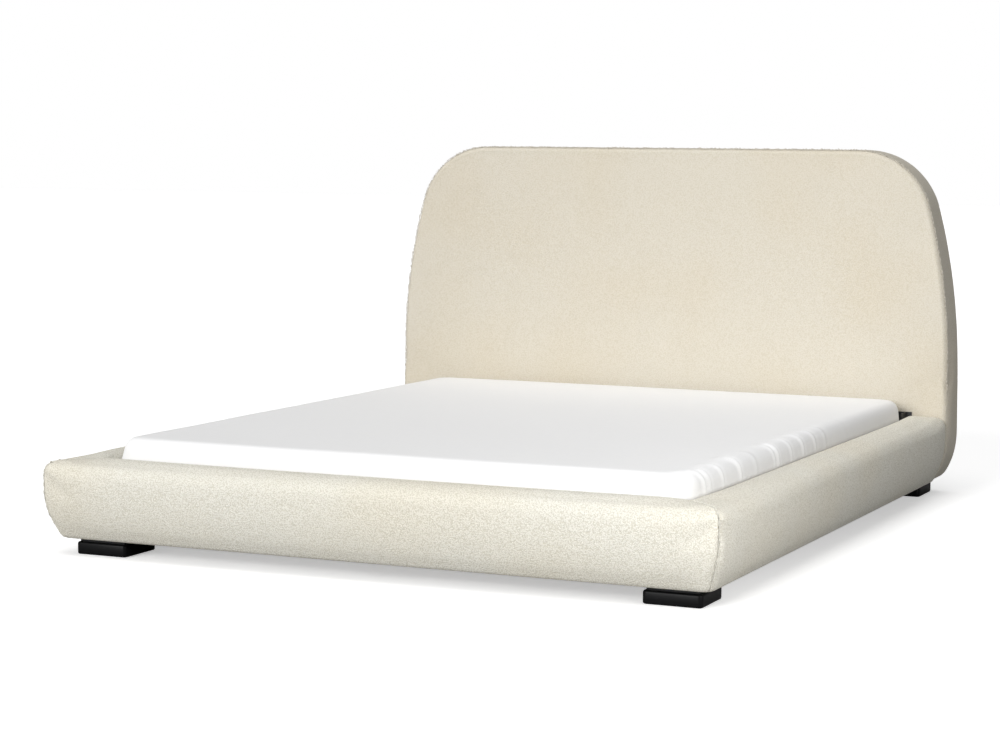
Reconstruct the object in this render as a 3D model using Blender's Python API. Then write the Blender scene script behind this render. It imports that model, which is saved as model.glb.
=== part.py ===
"""Upholstered platform bed: padded headboard, wide padded rails, slatted base and mattress.

The origin is on the floor under the middle of the bed. X runs across the bed, +Y runs to the
headboard and +Z is up. Everything is in metres.
"""

import math

import bmesh
import bpy

# --------------------------------------------------------------------------- driving sizes

MATTRESS_WIDTH = 1.600
MATTRESS_LENGTH = 2.000
MATTRESS_TOP = 0.303
MATTRESS_LEFT_GAP = 0.0185  # it lies a little towards the right rail
MATTRESS_RIGHT_GAP = 0.0065
MATTRESS_FOOT_GAP = 0.020
MATTRESS_HEAD_GAP = 0.023
MATTRESS_CORNER = 0.070
MATTRESS_EDGE = 0.040
SHEET = 0.0015
SHEET_HEM = 0.060  # sheet turned in under the mattress
HEADBOARD_HEIGHT = 1.083

FIT = 0.0003  # gap between pieces that touch
MITRE_FIT = 0.0003  # set back of each rail from the plane of its corner joint
CLOTH = 0.003  # thickness of the upholstery cloth

RAIL_THICKNESS = 0.130
RAIL_TOP = 0.255
RAIL_BOTTOM = 0.045
RAIL_OUTER_EDGE = 0.035  # radius of the outer top edge
RAIL_INNER_EDGE = 0.018  # radius of the inner top edge
RAIL_TUCK = 0.043  # how far the outer face runs in at the bottom
RAIL_TUCK_RISE = 0.143  # height over which it runs in
RAIL_TUCK_POWER = 2.3  # shape of that curve
RAIL_INNER_HEM = 0.090  # cloth turned down over the inner face
RAIL_LOWER_HEM = 0.060  # cloth turned in under the rail
RAIL_BOARD = 0.025
RAIL_TOP_PADDING = 0.017  # foam over the upper edge of the board

HEADBOARD_THICKNESS = 0.147
HEADBOARD_CORNER = 0.250  # radius of the two top corners
HEADBOARD_LEAN = math.radians(15)  # the sides draw in towards the top corners
HEADBOARD_LEAN_START = 0.400  # height at which they begin to
HEADBOARD_FRONT_EDGE = 0.022
HEADBOARD_BACK_EDGE = 0.015
HEADBOARD_HEM = 0.045  # cloth turned in over the back
HEADBOARD_FOAM = 0.042  # foam in front of the panel
HEADBOARD_EDGE_FOAM = 0.030  # foam round the edge
HEADBOARD_PANEL = 0.015
HEADBOARD_TIMBER = 0.070
HEADBOARD_TIMBER_GAP = 0.020  # from the top of a post to the edge foam above it
BACK_CLOTH = 0.001

FOOT_SIDE = 0.152
FOOT_HEIGHT = 0.033
FOOT_EDGE = 0.008
FOOT_PLATE_SIDE = 0.134
FOOT_INSET = 0.075  # from the rails' outer faces
FOOT_BACK_INSET = 0.030  # from the headboard's back

STEEL = 0.003  # sheet thickness of the brackets and angles
CORNER_ANGLE_LEG = 0.070
CORNER_ANGLE_TOP = 0.155
BRACKET_TOP = 0.262
BRACKET_INBOARD = 0.070  # reach of the end plate inwards from the rail's inner face
BRACKET_UNDER_RAIL = 0.016  # reach of the end plate behind the rail's end
BRACKET_LEG = 0.060
BOLT_RADIUS = 0.004
BOLT_HEAD_RADIUS = 0.0075
BOLT_HEAD = 0.005
BOLT_LENGTH = 0.100
BOLT_HOLE_CLEARANCE = 0.0005
BOLT_HEIGHTS = (0.105, 0.205)

LEDGER_LEG = 0.038
SLAT_TOP = 0.121
SLAT_THICKNESS = 0.018
SLAT_WIDTH = 0.080
SLAT_COUNT = 14
SLAT_END_GAP = 0.012  # from a slat's end to the rail's inner face
SLAT_FIRST_GAP = 0.045  # from the foot rail and from the headboard to the nearest slat
TAPE_WIDTH = 0.030
TAPE_THICKNESS = 0.001
TAPE_SPREAD = 0.400  # from the middle to each tape

BEAM_WIDTH = 0.045
BEAM_HEIGHT = 0.040
BEAM_END_GAP = 0.006
HANGER_DEPTH = 0.035
LEG_RADIUS = 0.016
LEG_SPREAD = 0.400  # from the middle to each middle leg
GLIDE_BASE_RADIUS = 0.020
GLIDE_BASE = 0.008
GLIDE_GAP = 0.012  # thread showing between the glide's base and the leg
GLIDE_STEM_RADIUS = 0.005
GLIDE_STEM = 0.032  # above the base
GLIDE_BORE_CLEARANCE = 0.0005
GLIDE_BORE_DEPTH = 0.030

# --------------------------------------------------------------------------- derived places

SIDE_INNER = (MATTRESS_LEFT_GAP + MATTRESS_WIDTH + MATTRESS_RIGHT_GAP) / 2  # rail's inner face
HALF_WIDTH = SIDE_INNER + RAIL_THICKNESS
FRAME_LENGTH = MATTRESS_FOOT_GAP + MATTRESS_LENGTH + MATTRESS_HEAD_GAP  # inside the frame
BED_LENGTH = RAIL_THICKNESS + FRAME_LENGTH + HEADBOARD_THICKNESS
FOOT_FACE = -BED_LENGTH / 2
HEADBOARD_BACK = BED_LENGTH / 2
HEADBOARD_FACE = HEADBOARD_BACK - HEADBOARD_THICKNESS
FOOT_INNER = -FOOT_FACE - RAIL_THICKNESS  # inner face of the foot rail, from the middle
LINING = CLOTH + FIT
BOARD_OUTER = LINING + RAIL_BOARD  # outer face of a rail's board, from the rail's inner face
BOARD_TOP = RAIL_TOP - RAIL_TOP_PADDING - LINING
BOARD_BOTTOM = RAIL_BOTTOM + LINING
BRACKET_FACE = HEADBOARD_FACE - FIT - STEEL
RAIL_END = BRACKET_FACE - FIT
SLAT_BOTTOM = SLAT_TOP - SLAT_THICKNESS
PLATE_TOP = RAIL_BOTTOM - FIT
PLATE_BOTTOM = FOOT_HEIGHT + FIT
POST_X = SIDE_INNER - BRACKET_INBOARD / 2

# --------------------------------------------------------------------------- materials

COLOURS = {
    "boucle": ((0.80, 0.75, 0.66), 0.95, 0.0),
    "foam": ((0.86, 0.80, 0.55), 0.95, 0.0),
    "chipboard": ((0.52, 0.38, 0.22), 0.85, 0.0),
    "plywood": ((0.62, 0.47, 0.30), 0.75, 0.0),
    "pine": ((0.72, 0.55, 0.34), 0.70, 0.0),
    "black_steel": ((0.015, 0.015, 0.016), 0.45, 0.8),
    "zinc": ((0.62, 0.63, 0.65), 0.35, 1.0),
    "black_plastic": ((0.012, 0.012, 0.013), 0.40, 0.0),
    "black_cloth": ((0.02, 0.02, 0.02), 0.95, 0.0),
    "webbing": ((0.75, 0.74, 0.70), 0.90, 0.0),
    "ticking": ((0.88, 0.87, 0.84), 0.90, 0.0),
    "cotton": ((0.93, 0.93, 0.94), 0.88, 0.0),
}


def clear_scene():
    for item in list(bpy.data.objects):
        bpy.data.objects.remove(item, do_unlink=True)


def make_materials():
    made = {}
    for name, (colour, roughness, metallic) in COLOURS.items():
        made[name] = bpy.data.materials.new(name)
        made[name].use_nodes = True
        shader = made[name].node_tree.nodes["Principled BSDF"]
        shader.inputs["Base Color"].default_value = (*colour, 1.0)
        shader.inputs["Roughness"].default_value = roughness
        shader.inputs["Metallic"].default_value = metallic
        made[name].diffuse_color = (*colour, 1.0)
    return made


# --------------------------------------------------------------------------- shape helpers


def arc(centre, radius, start, end, steps):
    """Points on a circle, the angles in degrees."""
    points = []
    for step in range(steps + 1):
        angle = math.radians(start + (end - start) * step / steps)
        points.append((centre[0] + radius * math.cos(angle), centre[1] + radius * math.sin(angle)))
    return points


def offset(points, distance, closed):
    """Move a line of points to its left, keeping its corners sharp."""
    count = len(points)
    moved = []
    for index, (x, y) in enumerate(points):
        before = points[index - 1] if closed or index else None
        after = points[(index + 1) % count] if closed or index < count - 1 else None
        normals = []
        for first, second in ((before, (x, y)), ((x, y), after)):
            if first and second:
                length = math.hypot(second[0] - first[0], second[1] - first[1])
                normals.append(((first[1] - second[1]) / length, (second[0] - first[0]) / length))
        across = [sum(normal[axis] for normal in normals) for axis in (0, 1)]
        along = sum(across[axis] * normals[0][axis] for axis in (0, 1))
        moved.append((x + distance * across[0] / along, y + distance * across[1] / along))
    return moved


def add_object(name, mesh_data, material, origin=(0.0, 0.0, 0.0), smooth=None):
    """Turn a bmesh in world coordinates into a named object with its origin at a point."""
    bmesh.ops.recalc_face_normals(mesh_data, faces=mesh_data.faces)
    bmesh.ops.translate(mesh_data, vec=[-value for value in origin], verts=mesh_data.verts)
    mesh = bpy.data.meshes.new(name)
    mesh_data.to_mesh(mesh)
    mesh_data.free()
    if smooth:
        mesh.shade_smooth()
        mesh.set_sharp_from_angle(angle=math.radians(smooth))
    made = bpy.data.objects.new(name, mesh)
    made.location = origin
    if material:
        mesh.materials.append(material)
    bpy.context.scene.collection.objects.link(made)
    return made


def rings_to_mesh(rings):
    """Join rings of equally many points and close the first and the last with a face."""
    data = bmesh.new()
    rows = [[data.verts.new(point) for point in ring] for ring in rings]
    count = len(rows[0])
    for first, second in zip(rows, rows[1:]):
        for index in range(count):
            after = (index + 1) % count
            data.faces.new((first[index], first[after], second[after], second[index]))
    data.faces.new(rows[0])
    data.faces.new(rows[-1])
    return data


def box(name, low, high, material, edge=0.0, origin=(0.0, 0.0, 0.0)):
    """A block between two corners, with its edges rounded when an edge radius is given."""
    ring = [(low[0], low[1]), (high[0], low[1]), (high[0], high[1]), (low[0], high[1])]
    data = rings_to_mesh([[(x, y, z) for x, y in ring] for z in (low[2], high[2])])
    if edge:
        bmesh.ops.bevel(
            data, geom=data.edges[:], offset=edge, segments=2, profile=0.5, affect="EDGES"
        )
    return add_object(name, data, material, origin, smooth=40 if edge else None)


def turned(name, profile, centre, axis, material, sides=20, origin=None):
    """A turned solid: profile pairs are a radius and a distance along the axis Y or Z."""
    rings = []
    for radius, along in profile:
        ring = []
        for side in range(sides):
            angle = 2 * math.pi * side / sides
            first = radius * math.cos(angle)
            second = radius * math.sin(angle)
            point = (first, second, along) if axis == "Z" else (first, along, second)
            ring.append(tuple(centre[index] + point[index] for index in range(3)))
        rings.append(ring)
    return add_object(name, rings_to_mesh(rings), material, origin or centre, smooth=35)


def layered(name, outline, profile, place, material):
    """A solid built of copies of an outline: profile pairs are an inset and a depth."""
    rings = []
    for inset, depth in profile:
        rings.append([place(point, depth) for point in offset(outline, inset, closed=True)])
    return add_object(name, rings_to_mesh(rings), material, smooth=30)


# --------------------------------------------------------------------------- rails


def tuck_curve(outer, steps=6):
    """The outer face from its knee down to the bottom edge, as (outward, height) points."""
    points = []
    for step in range(steps + 1):
        share = step / steps
        inward = RAIL_TUCK * share**RAIL_TUCK_POWER
        points.append((outer - inward, RAIL_BOTTOM + RAIL_TUCK_RISE * (1 - share)))
    return points


def rail_path(inner_end, lower_end):
    """The rail's outside, from its inner face over the top and down to its underside."""
    inner_centre = (RAIL_INNER_EDGE, RAIL_TOP - RAIL_INNER_EDGE)
    outer_centre = (RAIL_THICKNESS - RAIL_OUTER_EDGE, RAIL_TOP - RAIL_OUTER_EDGE)
    points = [(0.0, inner_end)]
    points += arc(inner_centre, RAIL_INNER_EDGE, 180, 90, 3)
    points += arc(outer_centre, RAIL_OUTER_EDGE, 90, 0, 5)
    points += tuck_curve(RAIL_THICKNESS)
    points.append((lower_end, RAIL_BOTTOM))
    return points


def rail_solid(name, rail, section, material):
    """Sweep a section of (outward, height) points along a rail, mitred at the foot corners."""
    rings = []
    for end in (0, 1):
        ring = []
        for outward, height in section:
            if rail == "foot":
                reach = SIDE_INNER + outward - MITRE_FIT
                ring.append((reach if end else -reach, -(FOOT_INNER + outward), height))
            else:
                across = SIDE_INNER + outward
                along = RAIL_END if end else -(FOOT_INNER + outward) + MITRE_FIT
                ring.append((across if rail == "right" else -across, along, height))
        rings.append(ring)
    return add_object(name, rings_to_mesh(rings), material, smooth=30)


def make_rails(materials):
    outside = rail_path(RAIL_TOP - RAIL_INNER_HEM, RAIL_LOWER_HEM)
    cover = outside + list(reversed(offset(outside, -CLOTH, closed=False)))
    foam_outside = rail_path(BOARD_TOP + FIT, BOARD_OUTER + FIT)
    foam = offset(foam_outside, -LINING, closed=False)
    foam.append((BOARD_OUTER + FIT, BOARD_TOP + FIT))
    board = [
        (LINING, BOARD_BOTTOM),
        (BOARD_OUTER, BOARD_BOTTOM),
        (BOARD_OUTER, BOARD_TOP),
        (LINING, BOARD_TOP),
    ]
    for rail in ("left", "right", "foot"):
        label = "foot_rail" if rail == "foot" else f"side_rail_{rail}"
        rail_solid(f"{label}_cover", rail, cover, materials["boucle"])
        rail_solid(f"{label}_foam", rail, foam, materials["foam"])
        rail_solid(f"{label}_board", rail, board, materials["chipboard"])


# --------------------------------------------------------------------------- headboard


def headboard_outline():
    """The headboard's outline seen from the foot, as (across, height) points."""
    lean_end = HEADBOARD_HEIGHT - HEADBOARD_CORNER * (1 - math.sin(HEADBOARD_LEAN))
    lean_rise = lean_end - HEADBOARD_LEAN_START
    drawn_in = math.tan(HEADBOARD_LEAN) * lean_rise / 2
    right = list(reversed(tuck_curve(HALF_WIDTH)))
    steps = 5
    for step in range(steps):
        share = step / steps
        height = HEADBOARD_LEAN_START + lean_rise * share
        right.append((HALF_WIDTH - drawn_in * share**2, height))
    centre = (
        HALF_WIDTH - drawn_in - HEADBOARD_CORNER * math.cos(HEADBOARD_LEAN),
        HEADBOARD_HEIGHT - HEADBOARD_CORNER,
    )
    right += arc(centre, HEADBOARD_CORNER, math.degrees(HEADBOARD_LEAN), 90, 9)
    return right + [(-across, height) for across, height in reversed(right)]


def height_inside(outline, inset, across):
    """The height at which the inset outline's upper part passes a distance from the middle."""
    line = offset(outline, inset, closed=True)
    middle = HEADBOARD_HEIGHT / 2
    for first, second in zip(line, line[1:]):
        if first[0] >= across >= second[0] and second[1] > middle:
            share = (first[0] - across) / (first[0] - second[0])
            return first[1] + share * (second[1] - first[1])
    raise ValueError("the timber is wider than the headboard")


def headboard_place(point, depth):
    return (point[0], HEADBOARD_FACE + depth, point[1])


def headboard_profile(layer, hem):
    """(Inset, depth) pairs from the front face round the edge to a hem on the back."""
    front = HEADBOARD_FRONT_EDGE
    back = HEADBOARD_BACK_EDGE
    pairs = arc((front, front), front - layer, 270, 180, 4)
    pairs += arc((back, HEADBOARD_THICKNESS - back), back - layer, 180, 90, 3)
    pairs.append((hem, HEADBOARD_THICKNESS - layer))
    return pairs


def bolt_places():
    return [(side * POST_X, height) for side in (-1, 1) for height in BOLT_HEIGHTS]


def bolt_cutter(index, across, height):
    """A guide that drills the bolt's hole; it isn't a piece of the bed."""
    radius = BOLT_RADIUS + BOLT_HOLE_CLEARANCE
    start = BRACKET_FACE - BOLT_HEAD
    end = BRACKET_FACE + BOLT_LENGTH + BOLT_HOLE_CLEARANCE
    profile = [(radius, start), (radius, end)]
    cutter = turned(f"bolt_drill_{index}", profile, (across, 0.0, height), "Y", None, sides=12)
    cutter.hide_render = True
    cutter.display_type = "WIRE"
    return cutter


def drill(piece, cutters):
    for cutter in cutters:
        cut = piece.modifiers.new(cutter.name, "BOOLEAN")
        cut.operation = "DIFFERENCE"
        cut.solver = "EXACT"
        cut.object = cutter


def make_headboard(materials, cutters):
    outline = headboard_outline()
    hem = HEADBOARD_HEM
    back_limit = HEADBOARD_THICKNESS - LINING
    pocket = LINING + HEADBOARD_EDGE_FOAM
    pocket_floor = LINING + HEADBOARD_FOAM
    panel_front = pocket_floor + FIT
    panel_back = panel_front + HEADBOARD_PANEL

    cover_profile = headboard_profile(0.0, hem) + list(reversed(headboard_profile(CLOTH, hem)))
    cover = layered("headboard_cover", outline, cover_profile, headboard_place,
                    materials["boucle"])
    foam_profile = headboard_profile(LINING, pocket) + [(pocket, pocket_floor)]
    foam = layered("headboard_foam", outline, foam_profile, headboard_place, materials["foam"])
    panel_profile = [(pocket + FIT, panel_front), (pocket + FIT, panel_back)]
    panel = layered("headboard_panel", outline, panel_profile, headboard_place,
                    materials["plywood"])

    front = HEADBOARD_FACE + panel_back + FIT
    back = HEADBOARD_FACE + back_limit
    low = RAIL_BOTTOM + pocket + FIT
    post_inner = POST_X - HEADBOARD_TIMBER / 2
    post_outer = POST_X + HEADBOARD_TIMBER / 2
    bar_reach = post_inner - FIT
    post_top = height_inside(outline, pocket, post_outer) - HEADBOARD_TIMBER_GAP
    posts = {}
    for side, label in ((-1, "left"), (1, "right")):
        across = sorted((side * post_inner, side * post_outer))
        posts[side] = box(f"headboard_post_{label}", (across[0], front, low),
                          (across[1], back, post_top), materials["pine"])
    for label, top in (("top", post_top), ("bottom", low + HEADBOARD_TIMBER)):
        box(f"headboard_crossbar_{label}", (-bar_reach, front, top - HEADBOARD_TIMBER),
            (bar_reach, back, top), materials["pine"])

    cloth_profile = [(hem + FIT, back_limit + FIT), (hem + FIT, back_limit + FIT + BACK_CLOTH)]
    layered("headboard_back_cloth", outline, cloth_profile, headboard_place,
            materials["black_cloth"])

    for piece in (cover, foam, panel):
        drill(piece, cutters)
    for side, post in posts.items():
        drill(post, [cutter for cutter in cutters if cutter.location.x * side > 0])


# --------------------------------------------------------------------------- steel fittings


def prism(name, ring, low, high, axis, material):
    """A straight length of a section; the ring is in the plane across the axis."""
    places = {
        "X": lambda point, along: (along, point[0], point[1]),
        "Y": lambda point, along: (point[0], along, point[1]),
        "Z": lambda point, along: (point[0], point[1], along),
    }
    rings = [[places[axis](point, along) for point in ring] for along in (low, high)]
    return add_object(name, rings_to_mesh(rings), material)


def angle_ring(corner, reach, thickness):
    """An L-shaped section from its outer corner; reach holds the signed length of each leg."""
    sign = [math.copysign(1.0, value) for value in reach]
    inner = [corner[axis] + sign[axis] * thickness for axis in (0, 1)]
    far = [corner[axis] + reach[axis] for axis in (0, 1)]
    return [
        (corner[0], corner[1]),
        (far[0], corner[1]),
        (far[0], inner[1]),
        (inner[0], inner[1]),
        (inner[0], far[1]),
        (corner[0], far[1]),
    ]


def make_fittings(materials, cutters):
    steel = materials["black_steel"]
    board_face = SIDE_INNER + LINING - FIT
    foot_board_face = -(FOOT_INNER + LINING - FIT)
    for side, label in ((-1, "left"), (1, "right")):
        ring = angle_ring((side * board_face, foot_board_face),
                          (-side * CORNER_ANGLE_LEG, CORNER_ANGLE_LEG), STEEL)
        prism(f"corner_angle_{label}", ring, RAIL_BOTTOM, CORNER_ANGLE_TOP, "Z", steel)

        leg_face = SIDE_INNER - FIT
        plate_in = SIDE_INNER - BRACKET_INBOARD
        plate_out = SIDE_INNER + BRACKET_UNDER_RAIL
        plate_back = BRACKET_FACE + STEEL
        ring = [
            (side * plate_in, plate_back),
            (side * plate_out, plate_back),
            (side * plate_out, BRACKET_FACE),
            (side * leg_face, BRACKET_FACE),
            (side * leg_face, BRACKET_FACE - BRACKET_LEG),
            (side * (leg_face - STEEL), BRACKET_FACE - BRACKET_LEG),
            (side * (leg_face - STEEL), BRACKET_FACE),
            (side * plate_in, BRACKET_FACE),
        ]
        bracket = prism(f"head_bracket_{label}", ring, RAIL_BOTTOM, BRACKET_TOP, "Z", steel)
        drill(bracket, [cutter for cutter in cutters if cutter.location.x * side > 0])

        ring = angle_ring((side * board_face, SLAT_BOTTOM - FIT),
                          (-side * LEDGER_LEG, -LEDGER_LEG), STEEL)
        start = foot_board_face + CORNER_ANGLE_LEG + STEEL
        end = BRACKET_FACE - BRACKET_LEG - STEEL
        prism(f"ledger_{label}", ring, start, end, "Y", steel)

    names = ("left_lower", "left_upper", "right_lower", "right_upper")
    head_back = BRACKET_FACE - FIT
    for name, (across, height) in zip(names, bolt_places()):
        profile = [
            (BOLT_HEAD_RADIUS * 0.8, head_back - BOLT_HEAD),
            (BOLT_HEAD_RADIUS, head_back - BOLT_HEAD * 0.7),
            (BOLT_HEAD_RADIUS, head_back),
            (BOLT_RADIUS, head_back),
            (BOLT_RADIUS, BRACKET_FACE + BOLT_LENGTH),
        ]
        turned(f"head_bolt_{name}", profile, (across, 0.0, height), "Y", materials["zinc"],
               sides=12)


# --------------------------------------------------------------------------- feet


def make_feet(materials):
    foot_middle = FOOT_SIDE / 2
    across = HALF_WIDTH - FOOT_INSET - foot_middle
    rows = (
        ("front", FOOT_FACE + FOOT_INSET + foot_middle),
        ("rear", HEADBOARD_BACK - FOOT_BACK_INSET - foot_middle),
    )
    plate_half = FOOT_PLATE_SIDE / 2
    for row, along in rows:
        for side, label in ((-1, "left"), (1, "right")):
            x = side * across
            box(f"foot_{row}_{label}", (x - foot_middle, along - foot_middle, 0.0),
                (x + foot_middle, along + foot_middle, FOOT_HEIGHT),
                materials["black_plastic"], edge=FOOT_EDGE)
            box(f"foot_plate_{row}_{label}", (x - plate_half, along - plate_half, PLATE_BOTTOM),
                (x + plate_half, along + plate_half, PLATE_TOP), materials["black_steel"])


# --------------------------------------------------------------------------- slatted base


def make_beam(materials):
    half = BEAM_WIDTH / 2
    top = SLAT_BOTTOM - FIT
    bottom = top - BEAM_HEIGHT
    foot_end = -(FOOT_INNER + LINING) + FIT
    head_end = HEADBOARD_FACE - FIT
    box("centre_beam", (-half, foot_end + BEAM_END_GAP, bottom),
        (half, head_end - BEAM_END_GAP, top), materials["pine"])

    near = half + FIT
    far = near + STEEL
    cradle = [
        (-far, bottom - FIT - STEEL),
        (far, bottom - FIT - STEEL),
        (far, top),
        (near, top),
        (near, bottom - FIT),
        (-near, bottom - FIT),
        (-near, top),
        (-far, top),
    ]
    steel = materials["black_steel"]
    prism("beam_hanger_foot", cradle, foot_end, foot_end + HANGER_DEPTH, "Y", steel)
    prism("beam_hanger_head", cradle, head_end - HANGER_DEPTH, head_end, "Y", steel)

    leg_bottom = GLIDE_BASE + GLIDE_GAP
    leg_top = bottom - FIT
    bore = GLIDE_STEM_RADIUS + GLIDE_BORE_CLEARANCE
    leg_profile = [
        (LEG_RADIUS, leg_top),
        (LEG_RADIUS, leg_bottom),
        (bore, leg_bottom),
        (bore, leg_bottom + GLIDE_BORE_DEPTH),
    ]
    glide_profile = [
        (GLIDE_BASE_RADIUS, 0.0),
        (GLIDE_BASE_RADIUS, GLIDE_BASE * 0.6),
        (GLIDE_BASE_RADIUS * 0.7, GLIDE_BASE),
        (GLIDE_STEM_RADIUS, GLIDE_BASE),
        (GLIDE_STEM_RADIUS, GLIDE_BASE + GLIDE_STEM),
    ]
    for row, along in (("front", -LEG_SPREAD), ("rear", LEG_SPREAD)):
        centre = (0.0, along, 0.0)
        turned(f"middle_leg_{row}", leg_profile, centre, "Z", steel)
        turned(f"middle_glide_{row}", glide_profile, centre, "Z", materials["black_plastic"])


def make_slats(materials):
    reach = SIDE_INNER - SLAT_END_GAP
    first = -FOOT_INNER + SLAT_FIRST_GAP + SLAT_WIDTH / 2
    last = HEADBOARD_FACE - SLAT_FIRST_GAP - SLAT_WIDTH / 2
    pitch = (last - first) / (SLAT_COUNT - 1)
    for index in range(SLAT_COUNT):
        along = first + pitch * index
        box(f"slat_{index + 1:02d}", (-reach, along - SLAT_WIDTH / 2, SLAT_BOTTOM),
            (reach, along + SLAT_WIDTH / 2, SLAT_TOP), materials["pine"])
    low = (first - SLAT_WIDTH / 2, SLAT_TOP + FIT)
    high = (last + SLAT_WIDTH / 2, SLAT_TOP + FIT + TAPE_THICKNESS)
    for side, label in ((-1, "left"), (1, "right")):
        middle = side * TAPE_SPREAD
        box(f"slat_tape_{label}", (middle - TAPE_WIDTH / 2, *low),
            (middle + TAPE_WIDTH / 2, *high), materials["webbing"])


# --------------------------------------------------------------------------- mattress


def mattress_outline():
    half = (MATTRESS_WIDTH / 2, MATTRESS_LENGTH / 2)
    points = []
    for start, right, up in ((0, 1, 1), (90, -1, 1), (180, -1, -1), (270, 1, -1)):
        centre = (right * (half[0] - MATTRESS_CORNER), up * (half[1] - MATTRESS_CORNER))
        points += arc(centre, MATTRESS_CORNER, start, start + 90, 5)
    return points


def make_mattress(materials):
    bottom = SLAT_TOP + FIT + TAPE_THICKNESS + FIT
    across = (MATTRESS_LEFT_GAP - MATTRESS_RIGHT_GAP) / 2
    along = -FOOT_INNER + MATTRESS_FOOT_GAP + MATTRESS_LENGTH / 2

    def place(point, height):
        return (point[0] + across, point[1] + along, height)

    def edge_profile(layer, hem):
        radius = MATTRESS_EDGE - layer
        top = arc((MATTRESS_EDGE, MATTRESS_TOP - MATTRESS_EDGE), radius, 90, 180, 4)
        low = arc((MATTRESS_EDGE, bottom + MATTRESS_EDGE), radius, 180, 270, 3)
        return top + low + ([(hem, bottom + layer)] if hem else [])

    outline = mattress_outline()
    sheet_profile = edge_profile(0.0, SHEET_HEM) + list(reversed(edge_profile(SHEET, SHEET_HEM)))
    layered("fitted_sheet", outline, sheet_profile, place, materials["cotton"])
    layered("mattress_core", outline, edge_profile(SHEET + FIT, 0.0), place,
            materials["ticking"])


def main():
    clear_scene()
    materials = make_materials()
    cutters = [bolt_cutter(index, *place) for index, place in enumerate(bolt_places())]
    make_headboard(materials, cutters)
    make_rails(materials)
    make_fittings(materials, cutters)
    make_feet(materials)
    make_beam(materials)
    make_slats(materials)
    make_mattress(materials)


main()
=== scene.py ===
"""Upholstered platform bed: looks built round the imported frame.

The wide rails and the tall headboard are padded and covered in looped wool cloth. A mattress
in a fitted sheet lies on a slatted base. Everything is in metres: X runs across the bed, +Y
runs to the headboard and +Z is up, with the floor at zero.
"""

import math

import bmesh
import bpy
import numpy as np
from bpy.props import FloatProperty, FloatVectorProperty, IntProperty, PointerProperty
from bpy.types import Operator, Panel, PropertyGroup
from mathutils import Matrix, Vector


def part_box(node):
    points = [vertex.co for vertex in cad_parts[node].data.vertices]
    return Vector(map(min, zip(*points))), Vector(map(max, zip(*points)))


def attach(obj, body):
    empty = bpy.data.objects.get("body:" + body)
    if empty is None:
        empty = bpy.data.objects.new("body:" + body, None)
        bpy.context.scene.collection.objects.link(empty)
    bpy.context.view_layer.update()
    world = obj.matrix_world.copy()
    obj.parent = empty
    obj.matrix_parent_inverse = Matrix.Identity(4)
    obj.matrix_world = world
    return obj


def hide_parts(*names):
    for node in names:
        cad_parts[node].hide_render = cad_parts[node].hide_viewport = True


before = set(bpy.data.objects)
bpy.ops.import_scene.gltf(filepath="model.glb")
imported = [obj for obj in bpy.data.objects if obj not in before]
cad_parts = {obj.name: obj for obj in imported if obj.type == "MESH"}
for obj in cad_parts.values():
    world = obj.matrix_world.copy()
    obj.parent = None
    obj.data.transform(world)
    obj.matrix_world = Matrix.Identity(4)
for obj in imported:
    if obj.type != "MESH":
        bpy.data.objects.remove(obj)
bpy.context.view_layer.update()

bl_info = {
    "name": "Upholstered platform bed",
    "version": (1, 0, 0),
    "blender": (4, 5, 0),
    "location": "3D View > Sidebar > Bed",
    "description": "Builds the padding, bedding and fittings of an upholstered platform bed",
    "category": "Object",
}

SEED = 7
GAP = 0.0003  # between pieces that touch
SWELL_ROOM = 0.0028  # how far a pad starts inside its finished shape
HEM_IN = 0.0165  # from a rail's inner face to the staples in its lower hem
PLATE = 0.003  # thickness of the steel fittings
PAD_PRESSURE = 5.0  # the air pressure that fills a pad while its cover settles
FULL_TURN = 6.283  # radians
TUCK_POWER = 2.3  # the shape of the curve by which an outer face runs in
MATTRESS_BAND = (0.285, 0.42)  # heights over which the headboard begins to swell
HEAD_COUNTS = (46, 48)  # squares of the headboard's grid: along its half, and up its side

# --------------------------------------------------------------------------- frame places

RAIL_LOW, RAIL_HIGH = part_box("side_rail_right_cover")
BOARD_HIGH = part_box("side_rail_right_board")[1]
HEAD_LOW, HEAD_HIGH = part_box("headboard_cover")
PANEL_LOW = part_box("headboard_panel")[0]
SHEET_LOW, SHEET_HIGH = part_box("fitted_sheet")
CORE_LOW, CORE_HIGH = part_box("mattress_core")
SLAT_LOW, SLAT_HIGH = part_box("slat_01")
LAST_SLAT_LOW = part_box("slat_14")[0]

SIDE_INNER = RAIL_LOW.x
FOOT_INNER = -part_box("foot_rail_cover")[1].y
RAIL_WIDE = RAIL_HIGH.x - RAIL_LOW.x
RAIL_TOP = RAIL_HIGH.z
RAIL_BOTTOM = RAIL_LOW.z
RAIL_END = RAIL_HIGH.y
BASE_BAND = (RAIL_BOTTOM + 0.004, RAIL_BOTTOM + 0.030)  # heights where a cover is let go
SLAT_COUNT = sum(name.startswith("slat_") and name[5:].isdigit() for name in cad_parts)
SLAT_PITCH = (LAST_SLAT_LOW.y - SLAT_LOW.y) / (SLAT_COUNT - 1)


# --------------------------------------------------------------------------- sizes and colours


def length(name, description, default, **limits):
    """A size in metres that a property group holds."""
    return FloatProperty(
        name=name, description=description, default=default, unit="LENGTH", **limits)


def colour(name, description, default):
    """A colour that a property group holds."""
    return FloatVectorProperty(
        name=name, description=description, default=default, size=3, subtype="COLOR",
        min=0.0, max=1.0)


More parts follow.
